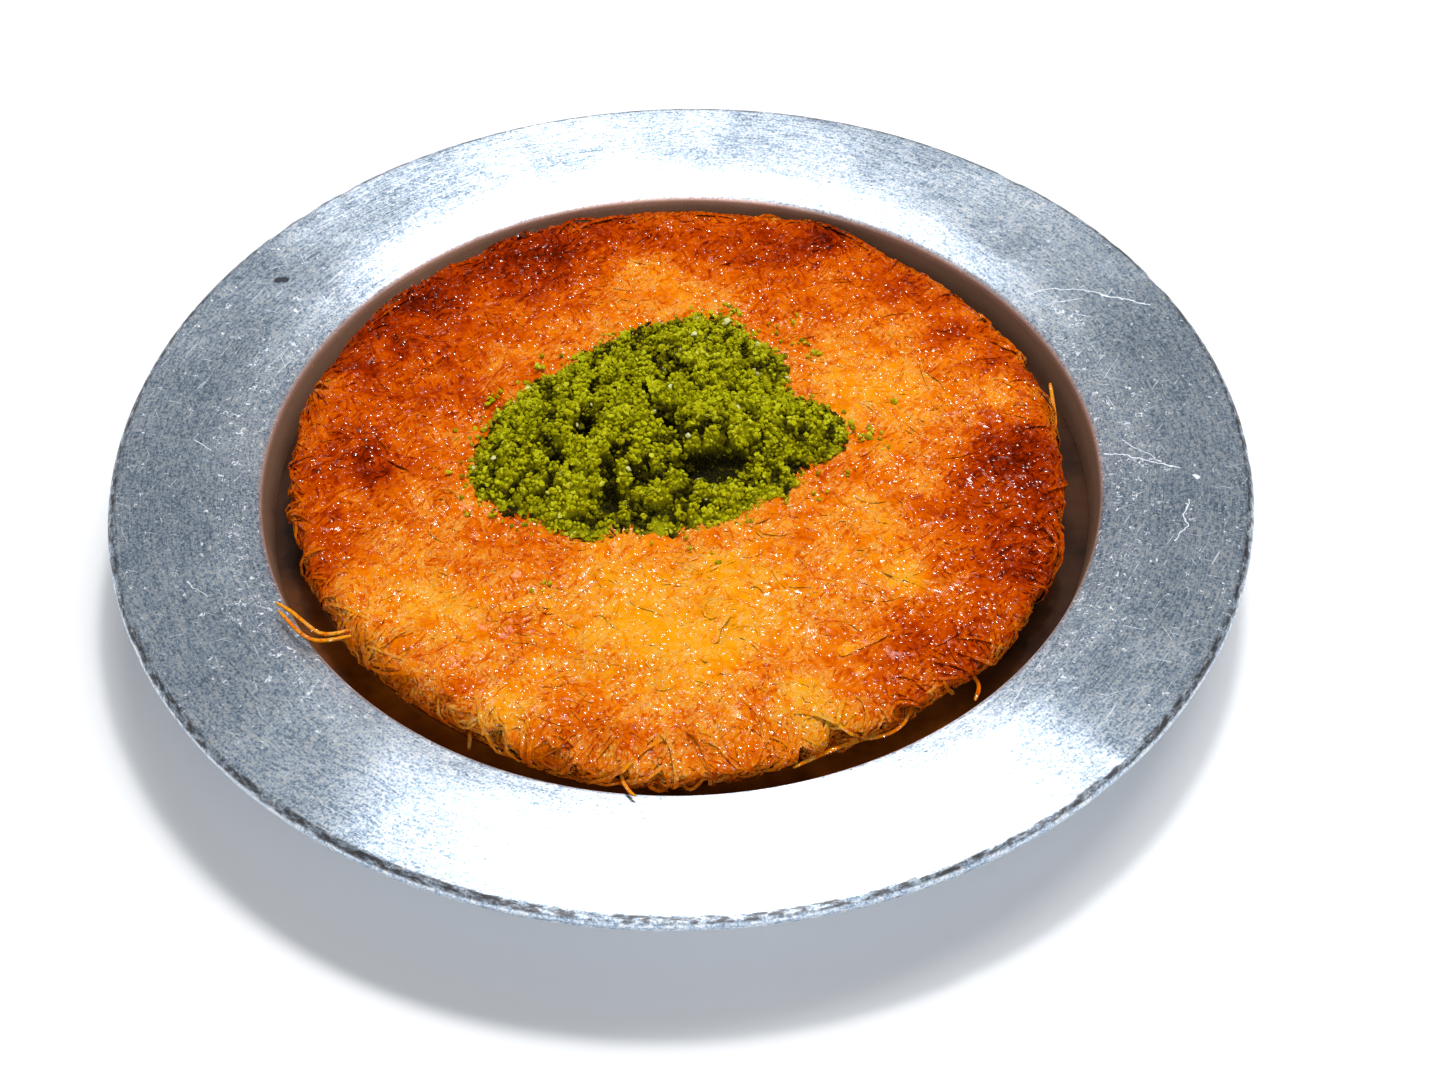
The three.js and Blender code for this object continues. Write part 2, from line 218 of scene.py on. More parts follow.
def tubes(name, paths, radius, sides, attributes, flat=1.0, smooth=True):
    """Strands joined in one mesh, from paths (strands x points x 3) and a radius for each strand.

    The section is flat times as high as it is wide."""
    count, steps, _ = paths.shape
    tangent = np.gradient(paths, axis=1)
    tangent /= np.linalg.norm(tangent, axis=2, keepdims=True) + 1e-9
    upright = np.abs(tangent[:, 0, 2:]) > 0.8
    reference = np.where(upright, [[1.0, 0.0, 0.0]], [[0.0, 0.0, 1.0]])
    side = np.cross(tangent[:, 0], reference)
    sideways = np.empty_like(paths)
    for step in range(steps):
        along = (side * tangent[:, step]).sum(1, keepdims=True)
        side = side - along * tangent[:, step]
        side /= np.linalg.norm(side, axis=1, keepdims=True) + 1e-9
        sideways[:, step] = side
    above = np.cross(tangent, sideways)
    taper = 1 - 0.5 * np.abs(np.linspace(-1, 1, steps)) ** 8
    size = (radius[:, None] * taper)[:, :, None, None]
    turn = full_turn(sides) - np.pi / 2
    across = np.cos(turn)[None, None, :, None] * sideways[:, :, None]
    upward = flat * np.sin(turn)[None, None, :, None] * above[:, :, None]
    rings = paths[:, :, None] + size * (across + upward)
    tips = np.stack([paths[:, 0], paths[:, -1]], axis=1)
    points = np.concatenate([rings.reshape(count, -1, 3), tips], axis=1).reshape(-1, 3)
    first = np.arange(count)[:, None, None] * (steps * sides + 2)
    quads = (first + grid_faces(steps, sides)[None]).reshape(-1, 4)
    start_cap = cap_faces(steps * sides, 0, sides, False)
    end_cap = cap_faces(steps * sides + 1, (steps - 1) * sides, sides, True)
    triangles = (first + np.concatenate([start_cap, end_cap])[None]).reshape(-1, 3)
    spread = {}
    for key, values in attributes.items():
        more = values.shape[2:]
        body = np.repeat(values[:, :, None], sides, axis=2).reshape(count, steps * sides, *more)
        spread[key] = np.concatenate([body, values[:, [0, -1]]], axis=1).reshape(-1, *more)
    return make_object(name, points, quads, triangles, spread, smooth)


def icosahedron():
    """The twelve points of an icosahedron of radius 1, and its twenty triangles."""
    long = (1 + math.sqrt(5)) / 2
    points = []
    for a in (-1, 1):
        for b in (-long, long):
            points += [(0, a, b), (a, b, 0), (b, 0, a)]
    points = np.array(points) / math.hypot(1, long)
    reach = np.linalg.norm(points[:, None] - points[None], axis=2)
    near = reach < 1.2
    faces = []
    for i in range(12):
        for j in range(i + 1, 12):
            for k in range(j + 1, 12):
                if near[i, j] and near[j, k] and near[i, k]:
                    normal = np.cross(points[j] - points[i], points[k] - points[i])
                    faces.append((i, j, k) if normal @ points[i] > 0 else (i, k, j))
    return points, np.array(faces)


def grains(name, places, sizes, rng, attributes):
    """Broken grains joined in one mesh: twenty-sided lumps, each uneven in its own way."""
    shape, faces = icosahedron()
    count = len(places)
    uneven = rng.uniform(0.55, 1.45, (count, len(shape), 1))
    stretch = rng.uniform(0.65, 1.4, (count, 1, 3))
    turned = random_turns(count, rng)
    lumps = np.einsum("nij,npj->npi", turned, shape[None] * uneven * stretch)
    points = places[:, None] + lumps * sizes[:, None, None]
    triangles = (np.arange(count)[:, None, None] * len(shape) + faces[None]).reshape(-1, 3)
    spread = {key: np.repeat(values, len(shape)) for key, values in attributes.items()}
    return make_object(name, points.reshape(-1, 3), (), triangles, spread, False)


def random_turns(count, rng):
    """Rotation matrices drawn evenly, from unit quaternions."""
    q = rng.normal(size=(count, 4))
    w, x, y, z = (q / np.linalg.norm(q, axis=1, keepdims=True)).T
    rows = [
        [1 - 2 * (y * y + z * z), 2 * (x * y - z * w), 2 * (x * z + y * w)],
        [2 * (x * y + z * w), 1 - 2 * (x * x + z * z), 2 * (y * z - x * w)],
        [2 * (x * z - y * w), 2 * (y * z + x * w), 1 - 2 * (x * x + y * y)],
    ]
    return np.moveaxis(np.array(rows), 2, 0)


# ---- The crust's surface ----
def dome_height(radius):
    """The height of the pastry's smooth top."""
    return DOME_EDGE + (DOME_TOP - DOME_EDGE) * (1 - (radius / DOME_RADIUS) ** 2)


def top_relief(x, y):
    """The broad swells of the top, as on the solid."""
    return TOP_RELIEF * (noise(x / 9, y / 9 + 40) + 0.5 * noise(x / 4.5 + 20, y / 4.5))


def crust_profile():
    """(radius, height) from the middle of the top, over the edge and down the side to the foot."""
    foot = SHEET + GAP
    top = [(r, dome_height(r)) for r in np.linspace(0, DOME_RADIUS, 32)]
    side = [
        (64.5, CRUST_EDGE + 0.9), (66.0, CRUST_EDGE), (CRUST_RADIUS, CRUST_UNDERSIDE + 2.6),
        (66.1, CRUST_UNDERSIDE + 1.1), (64.5, CRUST_UNDERSIDE), (64.8, SIDE_START + 2),
        (BODY_RADIUS, SIDE_START), (BODY_RADIUS - 0.5, foot + 1), (BODY_RADIUS - 1.4, foot),
    ]
    return cut_corners(np.array(top + side), 2)


PROFILE = crust_profile()
PROFILE_WAY = np.concatenate([[0], np.cumsum(np.linalg.norm(np.diff(PROFILE, axis=0), axis=1))])
PROFILE_SLOPE = np.gradient(PROFILE, PROFILE_WAY, axis=0)


def on_crust(x, y, lift=0.0, fine=True):
    """Wraps flat places, measured along the crust from its middle, over the crust's real form."""
    way = np.hypot(x, y)
    across = x / np.maximum(way, 1e-6)
    away = y / np.maximum(way, 1e-6)
    radius = np.interp(way, PROFILE_WAY, PROFILE[:, 0])
    height = np.interp(way, PROFILE_WAY, PROFILE[:, 1])
    run = np.interp(way, PROFILE_WAY, PROFILE_SLOPE[:, 0])
    rise = np.interp(way, PROFILE_WAY, PROFILE_SLOPE[:, 1])
    on_side = smoothstep(radius, BODY_RADIUS - 6, BODY_RADIUS)
    above_syrup = smoothstep(height, SIDE_START, SIDE_START + 2)
    under_top = 1 - smoothstep(height, CRUST_EDGE - 1, CRUST_EDGE + 1)
    wander = 0.6 * noise(3 * across + 7, 3 * away + 3)
    at_front = smoothstep(-away, 0.6, 0.95)
    folds = (0.3 + 0.4 * at_front) * noise(11 * across, 11 * away + height / 2.5)
    sag = FRONT_SAG * np.maximum(0, -away) ** 12 * under_top
    swell = RIGHT_SWELL * np.maximum(0, 0.98 * across + 0.2 * away) ** 1.5
    skirt = SKIRT_SWELL * np.maximum(0, 0.8 * across - 0.6 * away) ** 8 * under_top
    push = (CRUST_WAVE * (wander + folds) + sag + swell + skirt) * on_side * above_syrup
    on_top = smoothstep(height, CRUST_EDGE - 0.6, CRUST_EDGE + 0.6)
    relief = top_relief(radius * across, radius * away) * on_top
    if fine:
        relief = relief + on_top * fine_relief(radius * across, radius * away)
        push = push + fine_folds(across, away, height) * above_syrup * (1 - on_top)
    radius = radius + push + lift * -rise
    height = height + relief + lift * run
    return np.stack([PASTRY[0] + radius * across, PASTRY[1] + radius * away, height], axis=-1)


def glaze_normal(x, y):
    """The direction that the smooth crust faces at flat places: its syrup lies that way."""
    step = 0.5
    along_x = on_crust(x + step, y, fine=False) - on_crust(x - step, y, fine=False)
    along_y = on_crust(x, y + step, fine=False) - on_crust(x, y - step, fine=False)
    facing = np.cross(along_x, along_y)
    return facing / (np.linalg.norm(facing, axis=-1, keepdims=True) + 1e-9)


# Creases where the crust has folded: points on the plan of the dish, depth and width.
CREASES = (
    (((-60, 10), (-55, 5), (-50, 0), (-46, -4)), 0.9, 1.3),
    (((-57, 1), (-52, -3), (-49, -8)), 0.5, 1.1),
    (((6, -44), (8, -41), (11, -41), (14, -43), (15, -47)), 0.5, 1.0),
    (((2, -47), (5, -51), (7, -55)), 0.5, 1.0),
    (((-40, 38), (-34, 42), (-26, 44)), 0.5, 1.4),
    (((44, -30), (49, -27), (53, -22)), 0.6, 1.3),
    (((30, 34), (36, 30), (40, 24)), 0.4, 1.2),
    (((-24, -30), (-18, -33), (-13, -32)), 0.35, 1.0),
    (((-46, 22), (-41, 26), (-38, 31)), 0.45, 1.2),
    (((22, -40), (27, -37), (30, -32)), 0.4, 1.1),
    (((-8, 50), (0, 52), (8, 50)), 0.4, 1.2),
    (((48, 8), (52, 3), (53, -4)), 0.4, 1.2),
)


def crease_relief(x, y):
    """A groove along each crease, with a raised lip beside it."""
    total = 0.0 * x
    for points, depth, width in CREASES:
        nearest = np.full(np.shape(x), 1e6)
        beside = np.zeros(np.shape(x))
        for (ax, ay), (bx, by) in zip(points, points[1:]):
            length = math.hypot(bx - ax, by - ay)
            ux, uy = (bx - ax) / length, (by - ay) / length
            dx, dy = x + PASTRY[0] - ax, y + PASTRY[1] - ay
            along = np.clip(dx * ux + dy * uy, 0, length)
            reach = np.hypot(dx - along * ux, dy - along * uy)
            closer = reach < nearest
            nearest = np.where(closer, reach, nearest)
            beside = np.where(closer, dx * uy - dy * ux, beside)
        groove = -depth * np.exp(-(nearest / width) ** 2)
        lip = 0.7 * depth * np.exp(-((nearest - 1.6 * width) / width) ** 2) * (beside > 0)
        total = total + groove + lip
    return total


def fine_relief(x, y):
    """Swells and dimples a few shreds wide, and creases."""
    swells = 0.4 * noise(x / 4.6 + 11, y / 4.6) + 0.22 * noise(x / 2.3, y / 2.3 + 7)
    pits = smoothstep(noise(x / 2.6 + 60, y / 2.6 + 9), 0.5, 0.85)
    return swells - 0.45 * pits + crease_relief(x, y)


def fine_folds(across, away, height):
    """Pockets between hanging shreds, below the crust's edge, and deepest at the front."""
    pocket = noise(26 * across + 5, 26 * away + height / 1.8)
    depth = 0.8 + 2.4 * smoothstep(-away, 0.7, 0.95)
    return 0.35 * pocket - depth * smoothstep(pocket, 0.3, 0.7)


def crust_height(x, y):
    """The height of the top at a place in the dish."""
    x = x - PASTRY[0]
    y = y - PASTRY[1]
    return dome_height(np.minimum(np.hypot(x, y), DOME_RADIUS)) + top_relief(x, y)


# ---- How far the crust is baked, from 0, pale, to 1, dark red-brown, with painted light and shade in its patches ----
# Places are in the dish, in millimetres: x, y, radius, and how much darker (or paler, below 0). The patches
# hold baking and also painted light and shade: most pale ones lie at the front, and many dark ones at the
# back.
BROWNED_AND_PAINTED_LIGHT = (
    (-32, 57, 11, 0.34), (-45, 48, 9, 0.28), (-52, 38, 12, 0.28), (-62, 28, 9, 0.2), (-53, -1, 6, 0.24),
    (-66, 2, 7, 0.2), (-8, 62, 9, 0.22), (12, 58, 10, 0.2), (27, 58, 8, 0.36), (18, 52, 7, 0.12),
    (41, 42, 7, 0.22), (52, 30, 7, 0.2), (60, 20, 6, 0.1), (54, 0, 8, 0.24), (61, -7, 8, 0.26),
    (55, -17, 10, 0.26), (46, -16, 5, 0.08), (58, -28, 7, 0.24), (41, -36, 9, 0.08), (33, -50, 8, 0.08),
    (43, -46, 9, 0.16), (55, -37, 7, 0.16), (-60, -14, 8, 0.12), (-30, -20, 6, 0.06), (30, 10, 5, -0.06),
    (34, 17, 10, -0.26), (50, 26, 3, -0.16), (59, 15, 4, -0.22), (-10, -35, 12, -0.2),
    (12, -34, 12, -0.26), (3, -29, 7, -0.1), (-7, -46, 12, -0.2), (-8, 48, 7, -0.16),
    (-49, -33, 8, -0.26), (-35, -40, 7, -0.22), (-42, -34, 6, -0.16), (19.5, -55, 3.5, -0.4),
    (23, -60, 6, -0.3), (38, -30, 4, -0.36), (29, -20, 6, -0.14), (-32, 24, 5, -0.06),
    (-57, -8, 3, -0.2), (33, -12, 6, -0.08), (-25, -52, 6, -0.18),
    (10, -44, 10, -0.14), (-29, -59, 5, -0.24), (0, -62, 16, -0.12), (-24, 49, 10, 0.2), (3, 52, 7, 0.2),
    (-20, 60, 7, 0.12), (-29, 36, 9, 0.2), (-19, 38, 6, 0.12), (23, 36, 8, 0.14), (-50, 22, 10, 0.18),
    (-40, 14, 9, 0.18), (-59, 10, 8, 0.18), (44, 25, 8, 0.1), (59, 4, 6, 0.2), (-51, -5, 7, 0.14),
    (26, -3, 6, 0.1), (-29, -39, 5, 0.12),
)


def bake(x, y):
    """Baking on the top, darker towards its edge, with the patches' baking and painted light and shade
    added.
    """
    edge = smoothstep(np.hypot(x - PASTRY[0], y - PASTRY[1]), 44, 68)
    level = 0.4 + 0.1 * edge + 0.1 * noise(x / 7 + 3, y / 7) + 0.08 * noise(x / 3 + 8, y / 3 + 1)
    for px, py, size, amount in BROWNED_AND_PAINTED_LIGHT:
        level = level + amount * np.exp(-((x - px) ** 2 + (y - py) ** 2) / size ** 2)
    return level


def bake_at(points):
    """Baking on the crust's own skin: its lower side, steamed in syrup, is paler than its top."""
    level = bake(points[..., 0], points[..., 1])
    top = smoothstep(points[..., 2], CRUST_UNDERSIDE, CRUST_EDGE)
    return np.clip(0.42 + (level - 0.42) * top, 0, 1)


# ---- The pieces ----
def make_crust():
    """The pastry's body, with the finest rings of points where its edge turns over."""
    columns = 520
    ways = np.concatenate([
        np.linspace(0.6, 20, 16)[:-1], np.linspace(20, 61, 68)[:-1], np.linspace(61, 76, 40)[:-1],
        np.linspace(76, PROFILE_WAY[-1], 6),
    ])
    angle = full_turn(columns)
    x = ways[:, None] * np.cos(angle)
    y = ways[:, None] * np.sin(angle)
    rings = on_crust(x, y)
    top = on_crust(np.array(0.0), np.array(0.0))
    foot = [PASTRY[0], PASTRY[1], SHEET + GAP]
    places = np.concatenate([rings.reshape(-1, 3), [top, foot]])
    glaze = np.concatenate([glaze_normal(x, y).reshape(-1, 3), [[0, 0, 1], [0, 0, -1]]])
    return closed_rings("crust", rings, top, foot, {"bake": bake_at(places), "glaze": glaze})


def curled_paths(start, heading, curl, length, steps, wobble, rng):
    """Flat paths with their middles at places, along headings, that turn steadily."""
    share = np.linspace(-0.5, 0.5, steps)
    along = length[:, None] * share
    phase = rng.uniform(0, 2 * np.pi, (len(start), 1))
    turn = heading[:, None] + curl[:, None] * along + wobble * np.sin(5 * share + phase)
    step = length[:, None] / (steps - 1)
    x = np.cumsum(np.cos(turn) * step, axis=1)
    y = np.cumsum(np.sin(turn) * step, axis=1)
    middle = steps // 2
    return start[:, None, 0] + x - x[:, middle:middle + 1], start[:, None, 1] + y - y[:, middle:middle + 1]


def lay_of_shreds(x, y):
    """The direction in which neighbouring shreds lie, in radians."""
    return 2.6 * np.pi * noise(x / 17 + 31, y / 17) + 1.2 * noise(x / 6 + 2, y / 6)


def scattered(count, reach, rng):
    """Flat places spread evenly over a disc."""
    way = reach * np.sqrt(rng.uniform(0.01, 1, count))
    turn = rng.uniform(0, 2 * np.pi, count)
    return np.stack([way * np.cos(turn), way * np.sin(turn)], axis=1)


def strand_lift(rng, count, steps, middle, spread):
    """How high each point of a strand lies above the crust: highest at its middle, sunk at its ends."""
    share = np.linspace(-1, 1, steps)
    height = rng.normal(middle, spread, (count, 1))
    return height + 0.14 * (1 - 2.6 * share ** 4) + rng.normal(0, 0.05, (count, steps))


def strand_attributes(paths, glaze, rng, paler=0.0):
    """What the crust's material reads on strands: how far they are baked, and the glaze's direction."""
    tint = rng.uniform(-0.5, 0.5, (len(paths), 1))
    level = np.clip(bake_at(paths) - paler + 0.08 * tint, 0, 1)
    return {"bake": level, "glaze": glaze}


def strand_piece(name, x, y, lift, radius, rng, sides=3, paler=0.0, flat=0.45):
    """Flattened strands along flat paths that are wrapped over the crust."""
    paths = on_crust(x, y, lift)
    attributes = strand_attributes(paths, glaze_normal(x, y), rng, paler)
    return tubes(name, paths, radius, sides, attributes, flat, False)


def make_bundled_strands():
    """Shreds that lie side by side in small curved bundles, mostly sunk in the glaze."""
    rng = np.random.default_rng(5)
    bundles = 500
    in_bundle = 5
    centre = scattered(bundles, 67, rng)
    heading = lay_of_shreds(centre[:, 0], centre[:, 1]) + rng.normal(0, 0.45, bundles)
    curl = rng.normal(0, 0.08, bundles)
    length = rng.uniform(6, 13, bundles)
    row = np.arange(in_bundle) - (in_bundle - 1) / 2
    row = row[None] * rng.uniform(0.7, 1.2, (bundles, 1)) + rng.normal(0, 0.3, (bundles, in_bundle))
    slide = rng.normal(0, 2.0, (bundles, in_bundle))
    sideways = np.stack([-np.sin(heading), np.cos(heading)], axis=1)
    forward = np.stack([np.cos(heading), np.sin(heading)], axis=1)
    start = centre[:, None] + row[..., None] * sideways[:, None] + slide[..., None] * forward[:, None]
    count = bundles * in_bundle
    start = start.reshape(count, 2)
    spread_heading = np.repeat(heading, in_bundle) + rng.normal(0, 0.1, count)
    spread_curl = np.repeat(curl, in_bundle) + rng.normal(0, 0.015, count)
    spread_length = np.repeat(length, in_bundle) * rng.uniform(0.6, 1.15, count)
    x, y = curled_paths(start, spread_heading, spread_curl, spread_length, 8, 0.25, rng)
    lift = strand_lift(rng, count, 8, -0.12, 0.08)
    radius = rng.uniform(0.3, 0.44, count)
    return strand_piece("bundled_strands", x, y, lift, radius, rng)


def make_curled_strands():
    """Single shreds, many curled tightly, over the bundles."""
    rng = np.random.default_rng(6)
    count = 1500
    start = scattered(count, 68, rng)
    heading = lay_of_shreds(start[:, 0], start[:, 1]) + rng.normal(0, 1.0, count)
    curl = rng.normal(0, 0.22, count)
    length = rng.uniform(4, 11, count)
    x, y = curled_paths(start, heading, curl, length, 9, 0.5, rng)
    lift = strand_lift(rng, count, 9, -0.08, 0.09)
    radius = rng.uniform(0.26, 0.4, count)
    return strand_piece("curled_strands", x, y, lift, radius, rng)


def make_side_strands():
    """Paler shreds on the side, from the syrup up to the crust's edge."""
    rng = np.random.default_rng(7)
    count = 1100
    way = rng.uniform(66, 75.5, count)
    turn = rng.uniform(0, 2 * np.pi, count)
    start = np.stack([way * np.cos(turn), way * np.sin(turn)], axis=1)
    steep = rng.uniform(size=count) < 0.25
    heading = turn + np.where(steep, 0, np.pi / 2) + rng.normal(0, 0.5, count)
    curl = np.where(steep, 0, 1 / way) + rng.normal(0, 0.06, count)
    length = np.where(steep, rng.uniform(3, 7, count), rng.uniform(5, 12, count))
    x, y = curled_paths(start, heading, curl, length, 8, 0.5, rng)
    lift = strand_lift(rng, count, 8, 0.05, 0.25)
    radius = rng.uniform(0.28, 0.42, count)
    return strand_piece("side_strands", x, y, lift, radius, rng, paler=0.02)


def make_hanging_strands():
    """Shreds that come out of the crust's edge in tufts and hang towards the syrup."""
    rng = np.random.default_rng(8)
    tufts = 130
    in_tuft = 4
    count = tufts * in_tuft
    steps = 10
    share = np.linspace(0, 1, steps)
    turn = np.repeat(rng.uniform(0, 2 * np.pi, tufts), in_tuft) + rng.normal(0, 0.012, count)
    sweep = np.repeat(rng.normal(0, 0.09, tufts), in_tuft) + rng.normal(0, 0.025, count)
    leave = rng.uniform(62, 66, count)
    reach = np.repeat(rng.uniform(69, 75, tufts), in_tuft) + rng.normal(0, 0.8, count)
    way = leave[:, None] + (reach - leave)[:, None] * share
    bow = np.sin(np.pi * share)
    angle = turn[:, None] + sweep[:, None] * (share * 2 - 1) + rng.normal(0, 0.03, (count, 1)) * bow
    out = np.repeat(rng.uniform(0.1, 1.5, tufts), in_tuft) * rng.uniform(0.5, 1.3, count)
    lift = bow * out[:, None] - 0.25
    x = way * np.cos(angle)
    y = way * np.sin(angle)
    paths = inside_wall(on_crust(x, y, lift))
    radius = rng.uniform(0.26, 0.42, count)
    attributes = strand_attributes(paths, glaze_normal(x, y), rng, 0.06)
    return tubes("hanging_strands", paths, radius, 4, attributes, 1.0, False)


def wall_radius(height):
    """The inside radius of the dish's wall at a height."""
    low = SHEET + WELL_CORNER
    high = RIM_TOP - SHOULDER_DROP - LIP_ROUND
    return LIP_RADIUS - WALL_TAPER * (1 - np.clip((height - low) / (high - low), 0, 1))


def inside_wall(paths, clear=0.9):
    """Moves points that would touch the dish's wall back inside it."""
    reach = np.hypot(paths[..., 0], paths[..., 1])
    most = wall_radius(paths[..., 2]) - clear
    scale = np.minimum(1, most / reach)
    low = SYRUP_LEVEL + 0.2
    height = np.maximum(paths[..., 2], low)
    return np.stack([paths[..., 0] * scale, paths[..., 1] * scale, height], axis=-1)


# Single shreds that have come loose, point by point from the crust outwards.
LOOSE = (
    ((36, -55, 20.4), (32.5, -60, 19), (27, -62, 18.9), (21.6, -64.8, 19), (18, -67, 19)),
    ((38, -54.5, 20.6), (36.5, -58.7, 19.2), (32, -61.2, 19.1), (26, -61.4, 19.3)),
    ((46, -45, 20), (48.9, -47.8, 18.3), (49.4, -49.6, 18), (48.4, -52.2, 17.8)),
    (
        (-53, -38, 22.8), (-59.6, -40.6, 23), (-62.9, -37.5, 23.3), (-65.6, -34.5, 23.2),
        (-68.2, -32.4, 22.9),
    ),
    (
        (-54, -39.5, 22.4), (-60.4, -41.4, 22.6), (-63.4, -39.9, 23), (-66.4, -35.9, 23),
        (-67.6, -34.2, 22.9),
    ),
    ((-32, -52, 21.4), (-35.3, -55.6, 20.6), (-34.6, -57.2, 18.4), (-35.1, -58.9, 15)),
    ((66.2, 18.6, 22.6), (66.5, 16.8, 21), (66.9, 14.6, 19), (67, 12.3, 17.4)),
    ((-3, -62, 20.4), (-4.3, -67.4, 19.8), (-5.9, -69.9, 19.2), (-4, -70.8, 18), (-2.2, -69.1, 16.8)),
    ((6, -64, 20), (2.9, -70.6, 19.4), (0.8, -71.2, 18.4), (-0.3, -66.9, 17)),
    ((56.5, -33.2, 20.4), (55.9, -37.8, 19.4), (54.4, -41.6, 18.8), (51.4, -44.6, 18.6), (48.8, -47, 18.6)),
    ((-10, -66, 20.4), (-9.6, -70.4, 20.6), (-9, -72.4, 21.6), (-8.2, -74.3, 22.2), (-7.4, -75.2, 22.5)),
)


def smooth_path(points, steps, axes=3):
    """A smooth line near a few points, as evenly spaced points."""
    points = cut_corners(np.array(points, float), 3)
    way = np.concatenate([[0], np.cumsum(np.linalg.norm(np.diff(points, axis=0), axis=1))])
    along = np.linspace(0, way[-1], steps)
    return np.stack([np.interp(along, way, points[:, axis]) for axis in range(axes)], axis=1)


# Broad flat shreds on the crust: places in the dish, half of the width, and how much darker they are baked.
FLAKES = (
    (((-52.5, 3.4), (-49, 0.8), (-45.4, -2.6), (-42.6, -5.6)), 1.5, 0.12),
    (((-57.6, 0.6), (-54.4, 2.2), (-51.6, 1.2)), 1.6, 0.08),
    (((-56, -6.6), (-53.4, -3), (-50.4, -1.4)), 1.3, 0.06),
    (((-30, -37), (-25.5, -34.6), (-21, -35.4)), 1.2, -0.12),
    (((26, -47), (30, -44), (34.6, -42.6)), 1.3, -0.14),
    (((8, -38.4), (5.6, -41), (5.2, -44.6)), 1.0, 0.14),
    (((44, 22), (47.4, 18), (48.6, 13.6)), 1.2, 0.12),
    (((-22, 47), (-16, 49), (-10.4, 48.4)), 1.3, 0.12),
)


def make_flakes():
    """Broad flat shreds that stand out from the crust."""
    rng = np.random.default_rng(10)
    steps = 12
    plans = np.stack([smooth_path(points, steps, 2) for points, half, darker in FLAKES]) - PASTRY
    half = np.array([half for points, half, darker in FLAKES])
    darker = np.array([[darker] for points, half, darker in FLAKES])
    arched = 0.1 + 0.12 * np.sin(np.pi * np.linspace(0, 1, steps))
    lift = arched + rng.normal(0, 0.03, (len(FLAKES), steps))
    return strand_piece("broad_shreds", plans[..., 0], plans[..., 1], lift, half, rng, 8, -darker, 0.16)


def make_loose_strands():
    """Shreds that have come loose and hang or lie in the gap."""
    rng = np.random.default_rng(9)
    paths = np.stack([smooth_path(points, 18) for points in LOOSE])
    count = len(paths)
    radius = rng.uniform(0.3, 0.38, count)
    lengths = np.linalg.norm(np.diff(paths, axis=1), axis=2)
    along = np.concatenate([np.zeros((count, 1)), np.cumsum(lengths, axis=1)], axis=1)
    apart = 9.7 * np.arange(count)[:, None] + 0 * along
    level = 0.3 + 0.15 * noise(along / 5, apart)
    glaze = np.broadcast_to([0.0, 0.0, 1.0], paths.shape)
    return tubes("loose_strands", paths, radius, 8, {"bake": level, "glaze": glaze})


# ---- The heap of pistachio ----
# Hollows between clumps: x, y, radius, depth.
HOLLOWS = (
    (5.5, -7.4, 3.5, 6.5), (1.6, -6.8, 2.4, 4.5), (9.2, -5.4, 2.8, 5), (-16.5, 0.5, 2.6, 3.4),
    (-16.5, 3.6, 2, 2.8), (-21.5, -4.4, 2.6, 3.2), (-12, -13.6, 2.6, 3.4), (-6.6, -10, 2.2, 2.6),
    (-2.6, -15.6, 2.2, 2.4), (-3.6, 15.4, 2.2, 2.6), (9.2, 10.4, 2.2, 2.6), (-2, 2, 2.2, 2),
    (12, 5, 2.2, 2.2), (-30, -14, 2.6, 2), (-12, 12, 2.2, 2),
    (13, -2, 2, 2.4), (-27, 1, 2, 2), (2, 8, 2, 1.8),
)

# The crumbs spread a little farther than the solid heap at its front right.
CRUMB_REACH = HEAP_REACH + np.array([1, 0, 0, 0, 0, 0, 0, 0, 0, 0, 0, 0, 0, 2, 4, 2.5])


def heap_share(x, y):
    """How far a place is from the heap's middle, as a share of the heap's reach that way."""
    dx = x - HEAP[0]
    dy = y - HEAP[1]
    turns = (np.degrees(np.arctan2(dy, dx)) % 360) / (360 / len(CRUMB_REACH))
    i = np.floor(turns).astype(int)
    share = smoothstep(turns - i, 0, 1)
    start = CRUMB_REACH[i % len(CRUMB_REACH)]
    end = CRUMB_REACH[(i + 1) % len(CRUMB_REACH)]
    return np.hypot(dx, dy) / (start + (end - start) * share)


def heap_edge(away):
    """How far the heap reaches in each direction."""
    far = HEAP + away * FAR
    return FAR / heap_share(far[:, 0], far[:, 1])


def hollow_depth(x, y):
    """How deep the hollows between clumps are at a place."""
    total = 0.0 * x
    for px, py, size, depth in HOLLOWS:
        total = total + depth * np.exp(-(((x - px) ** 2 + (y - py) ** 2) / size ** 2) ** 1.5)
    return total


def heap_rise(x, y):
    """The heap's height above the crust, before its clumps of crumbs."""
    share = np.minimum(1, heap_share(x, y))
    lumps = HEAP_LUMPS * (noise(x / 8 + 9, y / 8) + 0.8 * noise(x / 4.5, y / 4.5 + 5))
    rise = HEAP_HEIGHT * (1 - share ** 1.7) + lumps * (1 - share ** 4)
    return np.maximum(rise - hollow_depth(x, y), 0.15 * (1 - share))


def heap_places(count, rng, most=1.0):
    """Places spread evenly over the heap's plan."""
    x = rng.uniform(-44, 34, count * 4)
    y = rng.uniform(-26, 44, count * 4)
    inside = heap_share(x, y) < most
    return x[inside][:count], y[inside][:count]


def billow(x, y):
    """Rounded lumps from 0 in the creases between them to 1 on top."""
    return np.minimum(1, 2.4 * np.abs(noise(x, y)))


def crumb_relief(x, y):
    """Clumps of crumbs with creases and deep pits between them, from about -0.6 to 1."""
    clumps = 0.5 * billow(x / 3.4, y / 3.4 + 3) + 0.5 * billow(x / 1.5 + 50, y / 1.5)
    pits = smoothstep(noise(x / 1.9 + 70, y / 1.9 + 15), 0.3, 0.75)
    return clumps - 0.6 * pits


